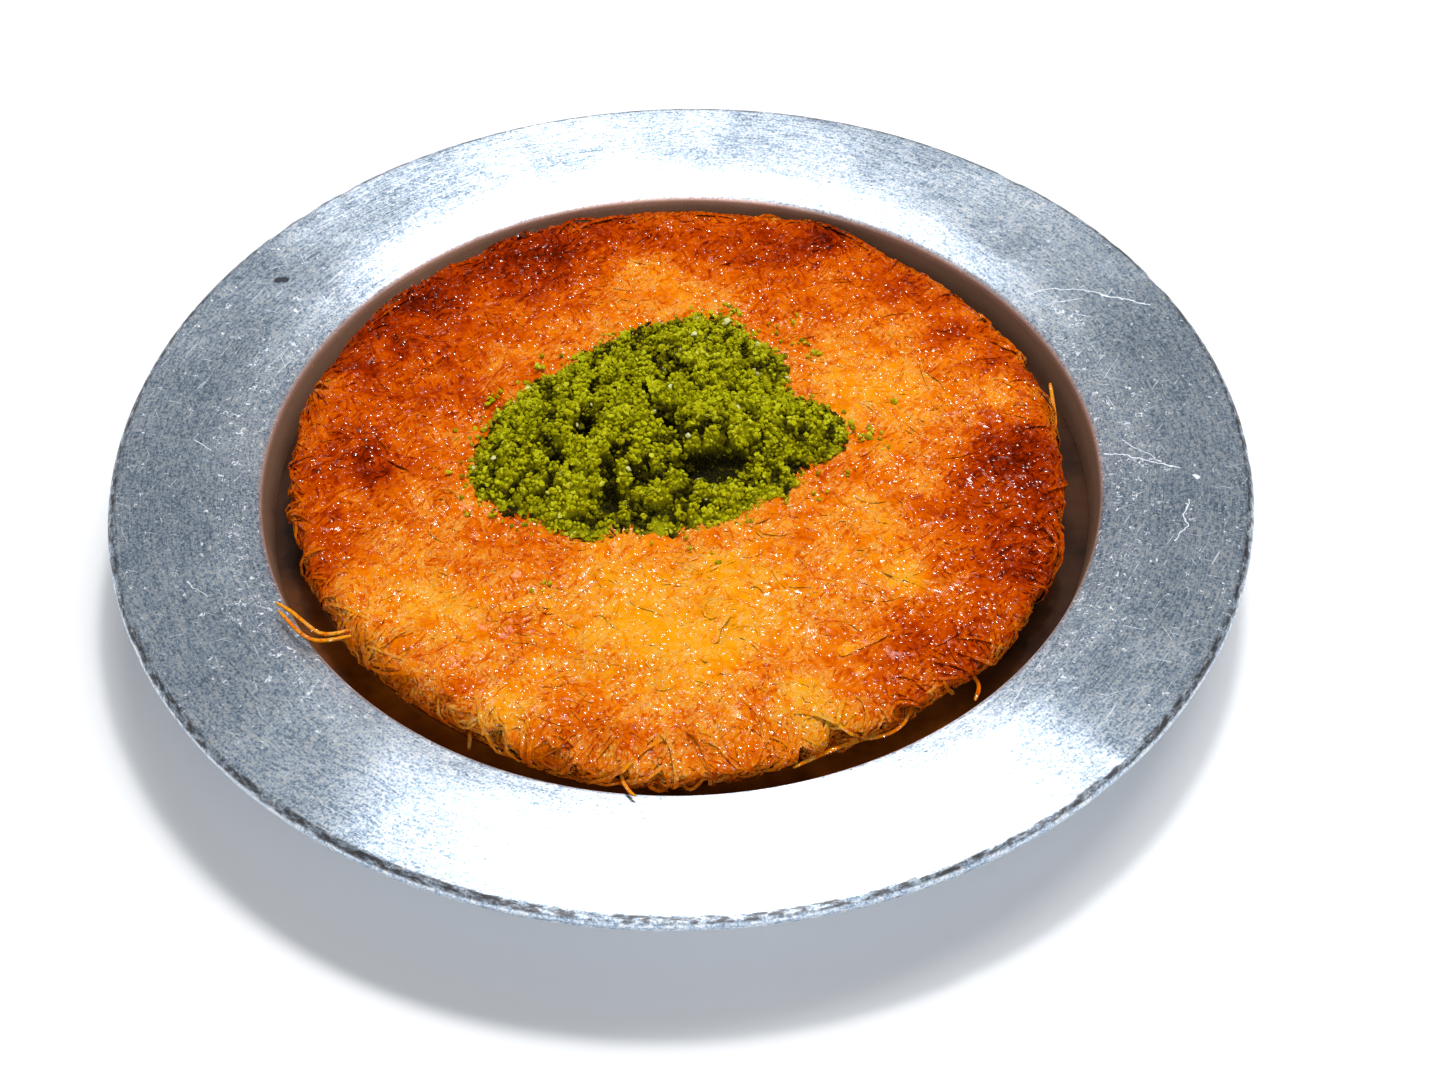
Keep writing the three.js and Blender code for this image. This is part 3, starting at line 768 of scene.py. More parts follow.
def heap_surface(x, y):
    """The height of the heap's crumbs at a place, and the painted light and shade there, from 0, painted
    shade, in pits and hollows, to 1, painted light, on the tops of clumps.
    """
    rise = heap_rise(x, y)
    relief = crumb_relief(x, y)
    height = crust_height(x, y) + rise + HEAP_CLUMPS * (relief - 0.5) * smoothstep(rise, 0, 2.5)
    return height, smoothstep(relief, 0, 0.85) * (1 - smoothstep(hollow_depth(x, y), 0.8, 3.4))


def make_heap_core():
    """The body of the heap, with painted shade: near black in its pits and hollows, and no lighter than a
    mid green.
    """
    columns = 300
    shares = np.linspace(0.02, 1, 90)
    angle = full_turn(columns)
    away = np.stack([np.cos(angle), np.sin(angle)], axis=1)
    wander = 0.05 * noise(away[:, 0] * 7, away[:, 1] * 7 + 60)
    ragged = 1 + wander + 0.03 * noise(away[:, 0] * 25, away[:, 1] * 25)
    spread = shares[:, None] * heap_edge(away) * ragged
    x = HEAP[0] + spread * away[:, 0]
    y = HEAP[1] + spread * away[:, 1]
    surface, painted_light = heap_surface(x, y)
    lowest = crust_height(x, y) + 0.6 * (1 - smoothstep(shares, 0.85, 1))[:, None]
    z = np.maximum(surface - 0.45, lowest)
    top = np.stack([x, y, z], axis=2)
    under = np.stack([x[-1], y[-1], crust_height(x[-1], y[-1]) - 0.6], axis=1)[None]
    rings = np.concatenate([top, under])
    peak = [HEAP[0], HEAP[1], float(z[0].mean())]
    foot = [HEAP[0], HEAP[1], DOME_TOP - 0.6]
    # Painted light and shade: the core's tint is near black in pits and hollows and no lighter than a mid
    # green on top.
    tint = np.concatenate([(0.42 * painted_light ** 1.5).ravel(), np.zeros(columns + 2)])
    return closed_rings("pistachio_core", rings, peak, foot, {"tint": tint})


def make_heap_grains():
    """A layer of crumbs packed side by side over the core, and clumps of more crumbs on it."""
    rng = np.random.default_rng(21)
    spacing = 0.76
    gx, gy = np.meshgrid(np.arange(-44, 38, spacing), np.arange(-28, 44, spacing))
    x = gx.ravel() + rng.uniform(-0.3, 0.3, gx.size)
    y = gy.ravel() + rng.uniform(-0.3, 0.3, gx.size)
    inside = heap_share(x, y) < 1.01
    x = x[inside]
    y = y[inside]
    surface, painted_light = heap_surface(x, y)
    layer = np.stack([x, y, surface + rng.uniform(-0.35, 0.2, len(x))], axis=1)
    # Painted light and shade: crumbs in the layer are lighter on the tops of clumps and dark in pits and
    # hollows.
    layer_painted_light = 0.04 + 0.56 * painted_light

    clumps = 330
    in_clump = 11
    x, y = heap_places(clumps, rng, 0.97)
    surface, painted_light = heap_surface(x, y)
    size = rng.uniform(0.7, 1.5, len(x)) * (0.5 + 0.5 * smoothstep(heap_rise(x, y), 0, 3))
    centre = np.stack([x, y, surface - 0.1 * size], axis=1)
    toward = rng.normal(size=(len(x), in_clump, 3))
    toward[..., 2] = np.abs(toward[..., 2]) * 0.9 + 0.1
    toward /= np.linalg.norm(toward, axis=2, keepdims=True)
    distance = size[:, None, None] * rng.uniform(0.6, 1.0, (len(x), in_clump, 1))
    clumped = (centre[:, None] + toward * distance).reshape(-1, 3)
    # Painted light and shade for the clumps' crumbs too.
    clump_painted_light = np.repeat(0.1 + 0.52 * painted_light, in_clump)

    places = np.concatenate([layer, clumped])
    places[:, 2] = np.minimum(places[:, 2], HIGHEST_CRUMB)
    sizes = rng.uniform(0.27, 0.48, len(places)) * np.where(rng.uniform(size=len(places)) < 0.04, 1.35, 1)
    # Each crumb's own random shade goes on top of the painted light and shade.
    tint = np.concatenate([layer_painted_light, clump_painted_light]) + rng.normal(0, 0.1, len(places))
    tint = np.clip(tint, 0.05, 0.9)
    tint[rng.uniform(size=len(places)) < 0.006] = 1.0
    return grains("pistachio_crumbs", places, sizes, rng, {"tint": tint})


# Crumbs that have rolled off the heap: x, y and how many lie together.
STRAYS = (
    (34.2, 4.8, 5), (34.6, 1.0, 4), (33, 3, 4), (23.7, -11.7, 4), (12.2, -18, 4), (-24.4, -34.2, 3),
    (-23.7, -31.5, 3), (6.6, -25.6, 2), (-13, 31, 5), (-26, 22, 5), (17, 33, 3), (22, 27, 6), (24, 24, 5),
    (20, 33, 3), (29, -6, 3), (19, -12, 5), (8, 34.5, 16), (10.5, 36.5, 8), (-33, 14, 7),
    (28.5, 3, 9), (-37, -14, 3), (-39, 5, 3), (38, 12, 2),
)


def make_stray_crumbs():
    """Crumbs that lie on the crust, in small groups and singly beside the heap."""
    rng = np.random.default_rng(22)
    places = []
    for x, y, count in STRAYS:
        places.append(np.stack([rng.normal(x, 0.8, count), rng.normal(y, 0.8, count)], axis=1))
    single = 150
    angle = rng.uniform(0, 2 * np.pi, single)
    away = np.stack([np.cos(angle), np.sin(angle)], axis=1)
    distance = heap_edge(away) * (1.0 + rng.exponential(0.035, single))
    places.append(HEAP + away * distance[:, None])
    places = np.concatenate(places)
    sizes = rng.uniform(0.22, 0.48, len(places))
    height = crust_height(places[:, 0], places[:, 1]) + 0.2 + 0.4 * sizes
    tint = rng.uniform(0.35, 0.85, len(places))
    return grains("stray_crumbs", np.column_stack([places, height]), sizes, rng, {"tint": tint})


# ---- The dish and the syrup ----
def dish_profile():
    """(radius, height) from the middle of the underside, out round the rim and back along the inside."""
    corner = LIP_RADIUS - WALL_TAPER - WELL_CORNER
    outer_corner = WELL_CORNER + SHEET
    under_rim = RIM_TOP - SHEET
    hem_start = RIM_RADIUS - HEM_WIDTH
    lip_height = RIM_TOP - SHOULDER_DROP - LIP_ROUND
    fall = (SHOULDER_RADIUS + LIP_RADIUS + LIP_ROUND) / 2
    return [
        (0.5, 0), *arc(corner, outer_corner, outer_corner, -90, 0, 8),
        (LIP_RADIUS + SHEET, under_rim - 1.6), (LIP_RADIUS + SHEET + 1.2, under_rim - 0.5),
        (SHOULDER_RADIUS, under_rim), (hem_start, under_rim), (hem_start + 0.5, RIM_TOP - HEM_THICKNESS),
        (RIM_RADIUS - 0.4, RIM_TOP - HEM_THICKNESS),
        *arc(RIM_RADIUS - EDGE_ROUND, RIM_TOP - EDGE_ROUND, EDGE_ROUND, 0, 90, 8),
        (SHOULDER_RADIUS + 0.7, RIM_TOP), (SHOULDER_RADIUS, RIM_TOP - 0.06),
        (fall, RIM_TOP - SHOULDER_DROP * 0.4),
        *arc(LIP_RADIUS + LIP_ROUND, lip_height, LIP_ROUND, 90, 180, 8),
        *arc(corner, SHEET + WELL_CORNER, WELL_CORNER, 0, -90, 8), (0.5, SHEET),
    ]


def make_dish():
    """The dish, with a rim that isn't quite true and small dents in its hem."""
    columns = 400
    profile = refined(dish_profile(), 2.2)
    angle = full_turn(columns)
    radius = np.repeat(profile[:, :1], columns, axis=1)
    height = np.repeat(profile[:, 1:], columns, axis=1)
    turn = np.repeat(angle[None], len(profile), axis=0)
    outer = smoothstep(radius, RIM_RADIUS - 3, RIM_RADIUS)
    dents = smoothstep(noise(17 * np.cos(turn) + 4, 17 * np.sin(turn)), 0.55, 0.9)
    uneven = 0.08 * noise(5 * np.cos(turn), 5 * np.sin(turn) + 9)
    radius = radius - outer * (0.15 * dents + 0.06 * np.abs(noise(60 * np.cos(turn), 60 * np.sin(turn))))
    on_rim = smoothstep(radius, LIP_RADIUS + 1, SHOULDER_RADIUS) * smoothstep(height, 17, 18.5)
    height = height + on_rim * (uneven - 0.04) - outer * on_rim * 0.18 * dents
    rings = np.stack([radius * np.cos(turn), radius * np.sin(turn), height], axis=2)
    return closed_rings("dish_metal", rings, [0, 0, 0], [0, 0, SHEET])


def make_syrup():
    """A ring of syrup that climbs a little at the pastry and reaches into the wall."""
    columns = 300
    angle = full_turn(columns)
    cos, sin = np.cos(angle), np.sin(angle)
    inner = np.stack([PASTRY[0] + (BODY_RADIUS + GAP) * cos, PASTRY[1] + (BODY_RADIUS + GAP) * sin], axis=1)
    outer_reach = wall_radius(SYRUP_LEVEL) + 0.15
    outer = np.stack([outer_reach * cos, outer_reach * sin], axis=1)
    shares = np.linspace(0, 1, 22)
    plan = inner[None] + (outer - inner)[None] * shares[:, None, None]
    climb = 0.4 * np.exp(-shares * 14)
    ripple = 0.05 * noise(plan[..., 0] / 4, plan[..., 1] / 4)
    surface = np.concatenate([plan, (SYRUP_LEVEL - 0.2 + climb[:, None] + ripple)[..., None]], axis=2)
    low_reach = LIP_RADIUS - WALL_TAPER - WELL_CORNER
    wall = np.stack([low_reach * cos * 1.04, low_reach * sin * 1.04, np.full(columns, 4.0)], axis=1)
    floor = np.stack([inner[:, 0], inner[:, 1], np.full(columns, SYRUP_FOOT)], axis=1)
    rings = np.concatenate([surface, wall[None], floor[None]])
    points = rings.reshape(-1, 3)
    last = (len(rings) - 1) * columns
    column = np.arange(columns)
    following = (column + 1) % columns
    closing = np.stack([last + column, last + following, following, column], axis=1)
    quads = np.concatenate([grid_faces(len(rings), columns), closing])
    return make_object("syrup_pool", points, quads)


# ---- Materials ----
def linear(red, green, blue):
    """A colour as the photograph shows it, from 0 to 255, as Blender's linear colour."""
    def one(value):
        value /= 255
        return value / 12.92 if value <= 0.04045 else ((value + 0.055) / 1.055) ** 2.4
    return (one(red), one(green), one(blue), 1.0)


class Shader:
    """A material whose nodes are made and joined by short calls."""

    def __init__(self, name):
        self.material = bpy.data.materials.new(name)
        self.material.use_nodes = True
        self.nodes = self.material.node_tree.nodes
        self.links = self.material.node_tree.links
        self.surface = self.nodes["Principled BSDF"]

    def put(self, socket, value):
        if isinstance(value, bpy.types.NodeSocket):
            self.links.new(value, socket)
        elif value is not None:
            socket.default_value = value

    def set(self, **values):
        for name, value in values.items():
            self.put(self.surface.inputs[name.replace("_", " ")], value)

    def node(self, kind, inputs=(), **settings):
        made = self.nodes.new(kind)
        for name, value in settings.items():
            setattr(made, name, value)
        for name, value in dict(inputs).items():
            self.put(made.inputs[name], value)
        return made

    def math(self, operation, first, second=None, third=None):
        made = self.node("ShaderNodeMath", operation=operation)
        for socket, value in zip(made.inputs, (first, second, third)):
            self.put(socket, value)
        return made.outputs[0]

    def vector(self, operation, first, second=None):
        made = self.node("ShaderNodeVectorMath", operation=operation)
        for socket, value in zip(made.inputs, (first, second)):
            self.put(socket, value)
        return made.outputs["Value" if operation in ("LENGTH", "DOT_PRODUCT", "DISTANCE") else "Vector"]

    def scaled(self, vector, factor):
        made = self.node("ShaderNodeVectorMath", operation="SCALE")
        self.put(made.inputs[0], vector)
        self.put(made.inputs["Scale"], factor)
        return made.outputs[0]

    def noise(self, vector, scale, detail=2.0, roughness=0.5, distortion=0.0):
        inputs = {"Vector": vector, "Scale": scale, "Detail": detail, "Roughness": roughness}
        made = self.node("ShaderNodeTexNoise", inputs)
        made.inputs["Distortion"].default_value = distortion
        return made.outputs["Fac"]

    def step(self, value, low, high, new_low=0.0, new_high=1.0):
        """A smooth step from one new value at low to another at high."""
        made = self.node("ShaderNodeMapRange", interpolation_type="SMOOTHSTEP")
        for socket, given in zip(made.inputs, (value, low, high, new_low, new_high)):
            self.put(socket, given)
        return made.outputs[0]

    def mix(self, factor, first, second):
        made = self.node("ShaderNodeMix", data_type="RGBA")
        self.put(made.inputs["Factor"], factor)
        self.put(made.inputs[6], first)
        self.put(made.inputs[7], second)
        return made.outputs[2]

    def ramp(self, factor, stops):
        made = self.node("ShaderNodeValToRGB")
        self.put(made.inputs[0], factor)
        elements = made.color_ramp.elements
        while len(elements) < len(stops):
            elements.new(0.5)
        for element, (place, colour) in zip(elements, stops):
            element.position = place
            element.color = colour
        return made.outputs[0]

    def bump(self, height, distance, strength=1.0, normal=None):
        inputs = {"Height": height, "Distance": distance, "Strength": strength, "Normal": normal}
        return self.node("ShaderNodeBump", inputs).outputs[0]

    def place(self):
        """The place on the object, in millimetres."""
        return self.scaled(self.node("ShaderNodeTexCoord").outputs["Object"], 1 / MM)

    def attribute(self, name):
        return self.node("ShaderNodeAttribute", attribute_name=name).outputs["Fac"]


# How the crust looks at each level of baking, as the photograph shows it.
BAKED = (
    (0.0, (275, 180, 16)), (0.18, (268, 154, 8)), (0.36, (256, 124, 2)), (0.54, (226, 88, 1)),
    (0.72, (182, 52, 0)), (0.88, (134, 32, 0)), (1.0, (96, 20, 0)),
)
# The light here makes a surface look brighter than its own colour by this factor.
EXPOSURE = 1.62


def shown(red, green, blue):
    """The surface colour that looks like this one in the light of the scene."""
    return tuple(value / EXPOSURE for value in linear(red, green, blue)[:3]) + (1.0,)


# Beads of syrup stand on the crust and catch the light.
BEAD_RADIUS = 0.32
BEAD_SLOPE = 0.7
# How strongly the smooth crust's own direction rules the shading of the single shreds on it.
GLAZE_PULL = 2.4


def filaments(shader, place):
    """Fine parallel shreds, in patches that run different ways: thin pale lines along them, painted
    highlights where the shreds would catch the light, and their tone.
    """
    painted_glint_lines = 0.0
    tone = 0.5
    for turn, offset in ((0.2, 0.0), (1.25, 17.0), (2.3, 41.0)):
        turned = shader.node("ShaderNodeMapping", {"Vector": place, "Rotation": (0, 0, turn)})
        inputs = {"Vector": turned.outputs[0], "Scale": (0.3, 1.0, 0.6), "Location": (offset, offset, 0)}
        stretched = shader.node("ShaderNodeMapping", inputs)
        wave = shader.noise(stretched.outputs[0], 1.3, 2, 0.6, 0.7)
        # Each thin line along a shred's edge is a painted highlight, where a wet shred would catch the
        # light.
        edge = shader.step(shader.math("ABSOLUTE", shader.math("SUBTRACT", wave, 0.5)), 0.04, 0.014)
        moved = shader.vector("ADD", place, (offset, offset, 0))
        patch = shader.step(shader.noise(moved, 0.2, 1), 0.45, 0.55)
        painted_glint_lines = shader.math("MAXIMUM", painted_glint_lines, shader.math("MULTIPLY", edge, patch))
        tone = shader.math("MULTIPLY_ADD", patch, shader.math("SUBTRACT", wave, tone), tone)
    return painted_glint_lines, tone


def crust_material():
    """Baked shreds of every shade from cream to red-brown, under a glaze of syrup with beads on it, with
    thin cream lines painted along the shreds as highlights.
    """
    shader = Shader("crust")
    place = shader.place()
    painted_glint_lines, tone = filaments(shader, place)
    speckle = shader.noise(place, 1.1, 3, 0.6)
    level = shader.math("ADD", shader.attribute("bake"), shader.step(tone, 0.3, 0.7, -0.15, 0.15))
    level = shader.math("ADD", level, shader.step(speckle, 0.3, 0.7, -0.09, 0.09))
    # The painted highlight lines are broken up, and they make the crust paler where they run.
    painted_glint_lines = shader.math("MULTIPLY", painted_glint_lines, shader.step(speckle, 0.4, 0.55, 0.1, 1.0))
    level = shader.math("SUBTRACT", level, shader.math("MULTIPLY", painted_glint_lines, 0.2))
    colour = shader.ramp(level, [(place_on, shown(*look)) for place_on, look in BAKED])
    # Pale cream blotches, with the painted highlight lines in cream over them, only on the lighter crust.
    cream_blotches_and_glints = shader.math("MULTIPLY", shader.step(shader.noise(place, 0.4, 2, 0.6), 0.58, 0.68), 0.35)
    cream_blotches_and_glints = shader.math("MAXIMUM", cream_blotches_and_glints, shader.math("MULTIPLY", painted_glint_lines, 0.5))
    cream_blotches_and_glints = shader.math("MULTIPLY", cream_blotches_and_glints, shader.step(level, 0.44, 0.2))
    colour = shader.mix(cream_blotches_and_glints, colour, shown(255, 218, 120))

    glaze = shader.node("ShaderNodeAttribute", attribute_name="glaze").outputs["Vector"]
    facing = shader.node("ShaderNodeNewGeometry").outputs["Normal"]
    soft = shader.vector("NORMALIZE", shader.vector("ADD", facing, shader.scaled(glaze, GLAZE_PULL)))
    normal = shader.bump(speckle, 0.4 * MM, 0.7, soft)

    cells = shader.node("ShaderNodeTexVoronoi", {"Vector": place, "Scale": 1.0})
    offset = shader.vector("SUBTRACT", place, cells.outputs["Position"])
    size = shader.step(cells.outputs["Color"], 0.2, 0.8, 0.6 * BEAD_RADIUS, 1.2 * BEAD_RADIUS)
    share = shader.math("DIVIDE", shader.vector("LENGTH", offset), size)
    bead = shader.step(share, 1.0, 0.85)
    domed = shader.scaled(offset, shader.math("DIVIDE", shader.math("MULTIPLY", bead, BEAD_SLOPE), size))
    wet = shader.vector("ADD", shader.vector("ADD", glaze, shader.scaled(facing, 0.45)), domed)
    patchy = shader.step(shader.noise(place, 0.6, 2), 0.52, 0.66, 0.0, 0.12)
    shader.set(Base_Color=colour, Roughness=0.5, Normal=normal, Specular_IOR_Level=0.0)
    shader.set(Coat_Weight=shader.math("MAXIMUM", patchy, bead), Coat_Roughness=0.07, Coat_IOR=1.9)
    shader.set(Coat_Normal=shader.vector("NORMALIZE", wet))
    return shader.material


def syrup_material():
    """Amber at the front, and elsewhere thin and dull over the stained metal."""
    shader = Shader("syrup")
    place = shader.place()
    cloud = shader.noise(place, 0.12, 3, 0.6)
    amber = shader.ramp(cloud, ((0.3, linear(70, 32, 5)), (0.7, linear(132, 72, 16))))
    thin = shader.ramp(cloud, ((0.3, linear(34, 19, 11)), (0.7, linear(64, 38, 24))))
    x, y, z = shader.node("ShaderNodeSeparateXYZ", {"Vector": place}).outputs
    away = shader.step(shader.math("ADD", y, shader.math("MULTIPLY", x, 0.2)), -52, -25)
    normal = shader.bump(shader.noise(place, 0.35, 2), 0.2 * MM, 0.4)
    shader.set(Base_Color=shader.mix(away, amber, thin), Roughness=0.25, Normal=normal)
    shader.set(Specular_IOR_Level=0.1, Coat_Weight=0.15, Coat_Roughness=0.1)
    return shader.material


def pistachio_material():
    """Dry green crumbs, each with its own shade over painted light and shade: lighter on the tops of
    clumps, near black in pits and hollows. A few are pale.
    """
    shader = Shader("pistachio")
    place = shader.place()
    tint = shader.attribute("tint")
    grain = shader.noise(place, 3.2, 3, 0.65)
    tint = shader.math("ADD", tint, shader.step(grain, 0.3, 0.7, -0.08, 0.08))
    # The tint holds painted light and shade; its darkest stops stand for the shade in pits and hollows.
    colour = shader.ramp(tint, (
        (0.0, shown(20, 16, 0)), (0.2, shown(92, 86, 0)), (0.42, shown(170, 166, 3)),
        (0.62, shown(214, 212, 10)), (0.88, shown(238, 236, 56)), (1.0, shown(255, 255, 190)),
    ))
    normal = shader.bump(grain, 0.2 * MM, 0.7)
    shader.set(Base_Color=colour, Roughness=0.7, Normal=normal, Specular_IOR_Level=0.05)
    return shader.material


# The rim's flat part leans outwards by this slope, too little to show but in its gloss.
RIM_FALL = 0.1
# Marks on the rim that stand out: lines of places in the dish, and half of each line's width.
SCRATCHES = (
    (((63.6, 43.4), (69, 44.6), (76, 43.6), (86.3, 39.6)), 0.16),
    (((67, 40.5), (74, 41.6)), 0.1),
    (((74.6, 2), (79, 0.4), (87.2, -2.8)), 0.16),
    (((78, 4.5), (84, -1)), 0.1),
    (((88.1, -10.7), (86.6, -14), (87.2, -16.5), (84.5, -20.2)), 0.14),
    (((89.4, -4.4), (90, -5)), 0.45),
    (((-86, 8), (-83, 5.5)), 0.12),
    (((-80, -30), (-84, -26.5)), 0.1),
)


def metal_material():
    """Aluminium brushed round the dish, scuffed and scratched, stained by syrup inside with painted shade
    and a painted brown reflection of the pastry there, and with a painted dark reflection along the rounded
    outer edge.
    """
    shader = Shader("dish_metal")
    place = shader.place()
    x, y, z = shader.node("ShaderNodeSeparateXYZ", {"Vector": place}).outputs
    flat = shader.vector("MULTIPLY", place, (1, 1, 0))
    reach = shader.vector("LENGTH", flat)
    across = shader.math("DIVIDE", x, reach)
    away = shader.math("DIVIDE", y, reach)

    def brushed(round_the_dish, outward, detail):
        inputs = {
            "X": shader.math("MULTIPLY", across, round_the_dish),
            "Y": shader.math("MULTIPLY", away, round_the_dish),
            "Z": shader.math("MULTIPLY", reach, outward),
        }
        return shader.noise(shader.node("ShaderNodeCombineXYZ", inputs).outputs[0], 1.0, detail, 0.65)

    def scratches(angle, spacing, seed, low):
        turned = shader.node("ShaderNodeMapping", {"Vector": place, "Rotation": (0, 0, angle)})
        turned.inputs["Location"].default_value = (seed * 13.0, seed * 7.0, 0)
        inputs = {"Vector": turned.outputs[0], "Scale": (0.12, spacing, 1)}
        stretched = shader.node("ShaderNodeMapping", inputs)
        return shader.step(shader.noise(stretched.outputs[0], 1.0, 1, 0.5, 0.25), low, low + 0.04)

    def least(first, second):
        return shader.math("MINIMUM", first, second)

    def most(first, second):
        return shader.math("MAXIMUM", first, second)

    def times(first, second):
        return shader.math("MULTIPLY", first, second)

    def plus(first, second):
        return shader.math("ADD", first, second)

    long_lines = brushed(18, 4.2, 3)
    short_lines = brushed(70, 2.2, 2)
    patches = shader.noise(place, 0.05, 3, 0.6)
    fine = shader.noise(place, 2.3, 3, 0.75)
    cloud = shader.node("ShaderNodeTexNoise", {"Vector": place, "Scale": 0.5}).outputs["Color"]
    wander = shader.scaled(shader.vector("SUBTRACT", cloud, (0.5, 0.5, 0.5)), 1.6)
    shaken = shader.vector("ADD", flat, shader.vector("MULTIPLY", wander, (1, 1, 0)))

    def beside(points):
        """The distance from a line of places."""
        nearest = None
        for (ax, ay), (bx, by) in zip(points, points[1:]):
            length = math.hypot(bx - ax, by - ay)
            toward = ((bx - ax) / length, (by - ay) / length, 0)
            offset = shader.vector("SUBTRACT", shaken, (ax, ay, 0))
            along = shader.vector("DOT_PRODUCT", offset, toward)
            along = least(most(along, 0.0), length)
            foot = shader.node("ShaderNodeVectorMath", {"Scale": along}, operation="SCALE")
            foot.inputs[0].default_value = toward
            distance = shader.vector("DISTANCE", offset, foot.outputs[0])
            nearest = distance if nearest is None else least(nearest, distance)
        return nearest

    marks = scratches(0.3, 3.8, 1, 0.725)
    for angle, spacing, seed, low in ((1.2, 4.2, 2, 0.735), (2.1, 3.4, 3, 0.725), (2.8, 4.6, 4, 0.735)):
        marks = most(marks, scratches(angle, spacing, seed, low))
    marks = times(marks, 0.7)
    for points, half in SCRATCHES:
        marks = most(marks, shader.step(beside(points), half, half * 0.5))
    scuffed = shader.step(reach, 87, 79.5)
    curl = shader.noise(place, 0.6, 1, 0.5, 1.6)
    line = shader.math("ABSOLUTE", shader.math("SUBTRACT", curl, 0.5))
    chopped = shader.step(plus(shader.noise(place, 0.8, 1), times(scuffed, 0.08)), 0.66, 0.7)
    marks = most(marks, times(shader.step(line, 0.035, 0.012), chopped))
    specks = shader.step(plus(shader.noise(place, 3.4, 1, 0.5), times(scuffed, 0.04)), 0.75, 0.8)
    marks = most(marks, specks)
    pits = shader.step(plus(shader.noise(place, 1.6, 1, 0.5), times(scuffed, -0.05)), 0.22, 0.18)
    pits = most(pits, shader.step(beside(((-74.7, 50.2), (-73.4, 50.3))), 0.9, 0.6))

    tone = shader.step(long_lines, 0.25, 0.75, -0.18, 0.18)
    tone = plus(tone, shader.step(short_lines, 0.3, 0.7, -0.2, 0.2))
    tone = plus(tone, shader.step(fine, 0.3, 0.7, -0.42, 0.42))
    tone = plus(tone, shader.step(patches, 0.3, 0.7, -0.06, 0.06))
    tone = plus(tone, plus(0.5, times(scuffed, 0.06)))
    colour = shader.ramp(tone, (
        (0.1, (0.24, 0.32, 0.43, 1)), (0.5, (0.6, 0.73, 0.9, 1)), (0.9, (0.98, 1.0, 1.0, 1)),
    ))
    colour = shader.mix(marks, colour, (0.92, 0.95, 1.0, 1))
    colour = shader.mix(pits, colour, (0.12, 0.13, 0.15, 1))

    facing = shader.node("ShaderNodeNewGeometry").outputs["Normal"]
    outward = shader.node("ShaderNodeCombineXYZ", {"X": across, "Y": away}).outputs[0]
    up_and_in = shader.vector("SUBTRACT", (0, 0, 1), outward)
    in_well = shader.step(z, RIM_TOP - 0.9, RIM_TOP - 2.0)
    inside = shader.step(reach, LIP_RADIUS + 1.0, LIP_RADIUS + 0.4)
    inside = times(inside, shader.step(shader.vector("DOT_PRODUCT", facing, up_and_in), 0.0, 0.3))
    well = times(in_well, inside)
    # The well's colour is a syrup stain with painted shade and a painted reflection of the brown pastry: it
    # darkens down the well.
    stain_and_painted_shade = shader.ramp(shader.step(z, RIM_TOP - 1.4, RIM_TOP - 9), (
        (0.0, (0.78, 0.45, 0.34, 1)), (0.12, (0.44, 0.25, 0.16, 1)), (1.0, (0.2, 0.1, 0.06, 1)),
    ))
    stain_and_painted_shade = shader.mix(shader.step(long_lines, 0.3, 0.7, 0.0, 0.3), stain_and_painted_shade, (0.3, 0.17, 0.1, 1))
    colour = shader.mix(well, colour, stain_and_painted_shade)

    # A painted dark reflection along the top of the rounded outer edge, broken up by brushed noise.
    edge = shader.step(reach, RIM_RADIUS - 1.7, RIM_RADIUS - 1.0)
    edge = times(edge, shader.step(z, RIM_TOP - 1.2, RIM_TOP - 0.7))
    painted_reflection_mask = shader.step(brushed(40, 1.5, 3), 0.35, 0.6)
    colour = shader.mix(times(edge, painted_reflection_mask), colour, (0.14, 0.14, 0.15, 1))

    rough = shader.step(long_lines, 0.2, 0.8, 0.27, 0.36)
    rough = plus(rough, shader.step(patches, 0.3, 0.7, -0.03, 0.05))
    rough = plus(plus(rough, times(marks, 0.2)), times(scuffed, 0.05))
    fall = shader.scaled(outward, shader.step(reach, SHOULDER_RADIUS, SHOULDER_RADIUS + 1.5, 0.0, RIM_FALL))
    fallen = shader.vector("NORMALIZE", shader.vector("ADD", facing, fall))
    normal = shader.bump(plus(long_lines, times(short_lines, 0.5)), 0.03 * MM, 0.6, fallen)
    waves = shader.bump(shader.noise(place, 0.07, 2), 0.5 * MM, 0.25, normal)
    tangent = shader.node("ShaderNodeTangent", direction_type="RADIAL", axis="Z").outputs[0]
    metallic = shader.math("SUBTRACT", 1.0, most(times(marks, 0.6), times(well, 0.55)))
    shader.set(Base_Color=colour, Metallic=metallic, Roughness=rough, Normal=waves)
    shader.set(Anisotropic=0.9, Anisotropic_Rotation=0.25, Tangent=tangent)
    return shader.material


def floor_material():
    """Plain and pale, with a faint mottle."""
    shader = Shader("floor")
    mottle = shader.noise(shader.place(), 0.01, 2)
    colour = shader.ramp(mottle, ((0.3, (0.86, 0.865, 0.875, 1)), (0.7, (0.9, 0.9, 0.905, 1))))
    shader.set(Base_Color=colour, Roughness=0.7)
    return shader.material


# ---- Putting it together ----
def dress(piece, material, slot, *replaced):
    """Gives a piece its material, puts it under the root and hides the solids that it stands for. The slot
    is not used.
    """
    piece.data.materials.append(material)
    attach(piece, "root")
    if replaced:
        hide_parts(*replaced)


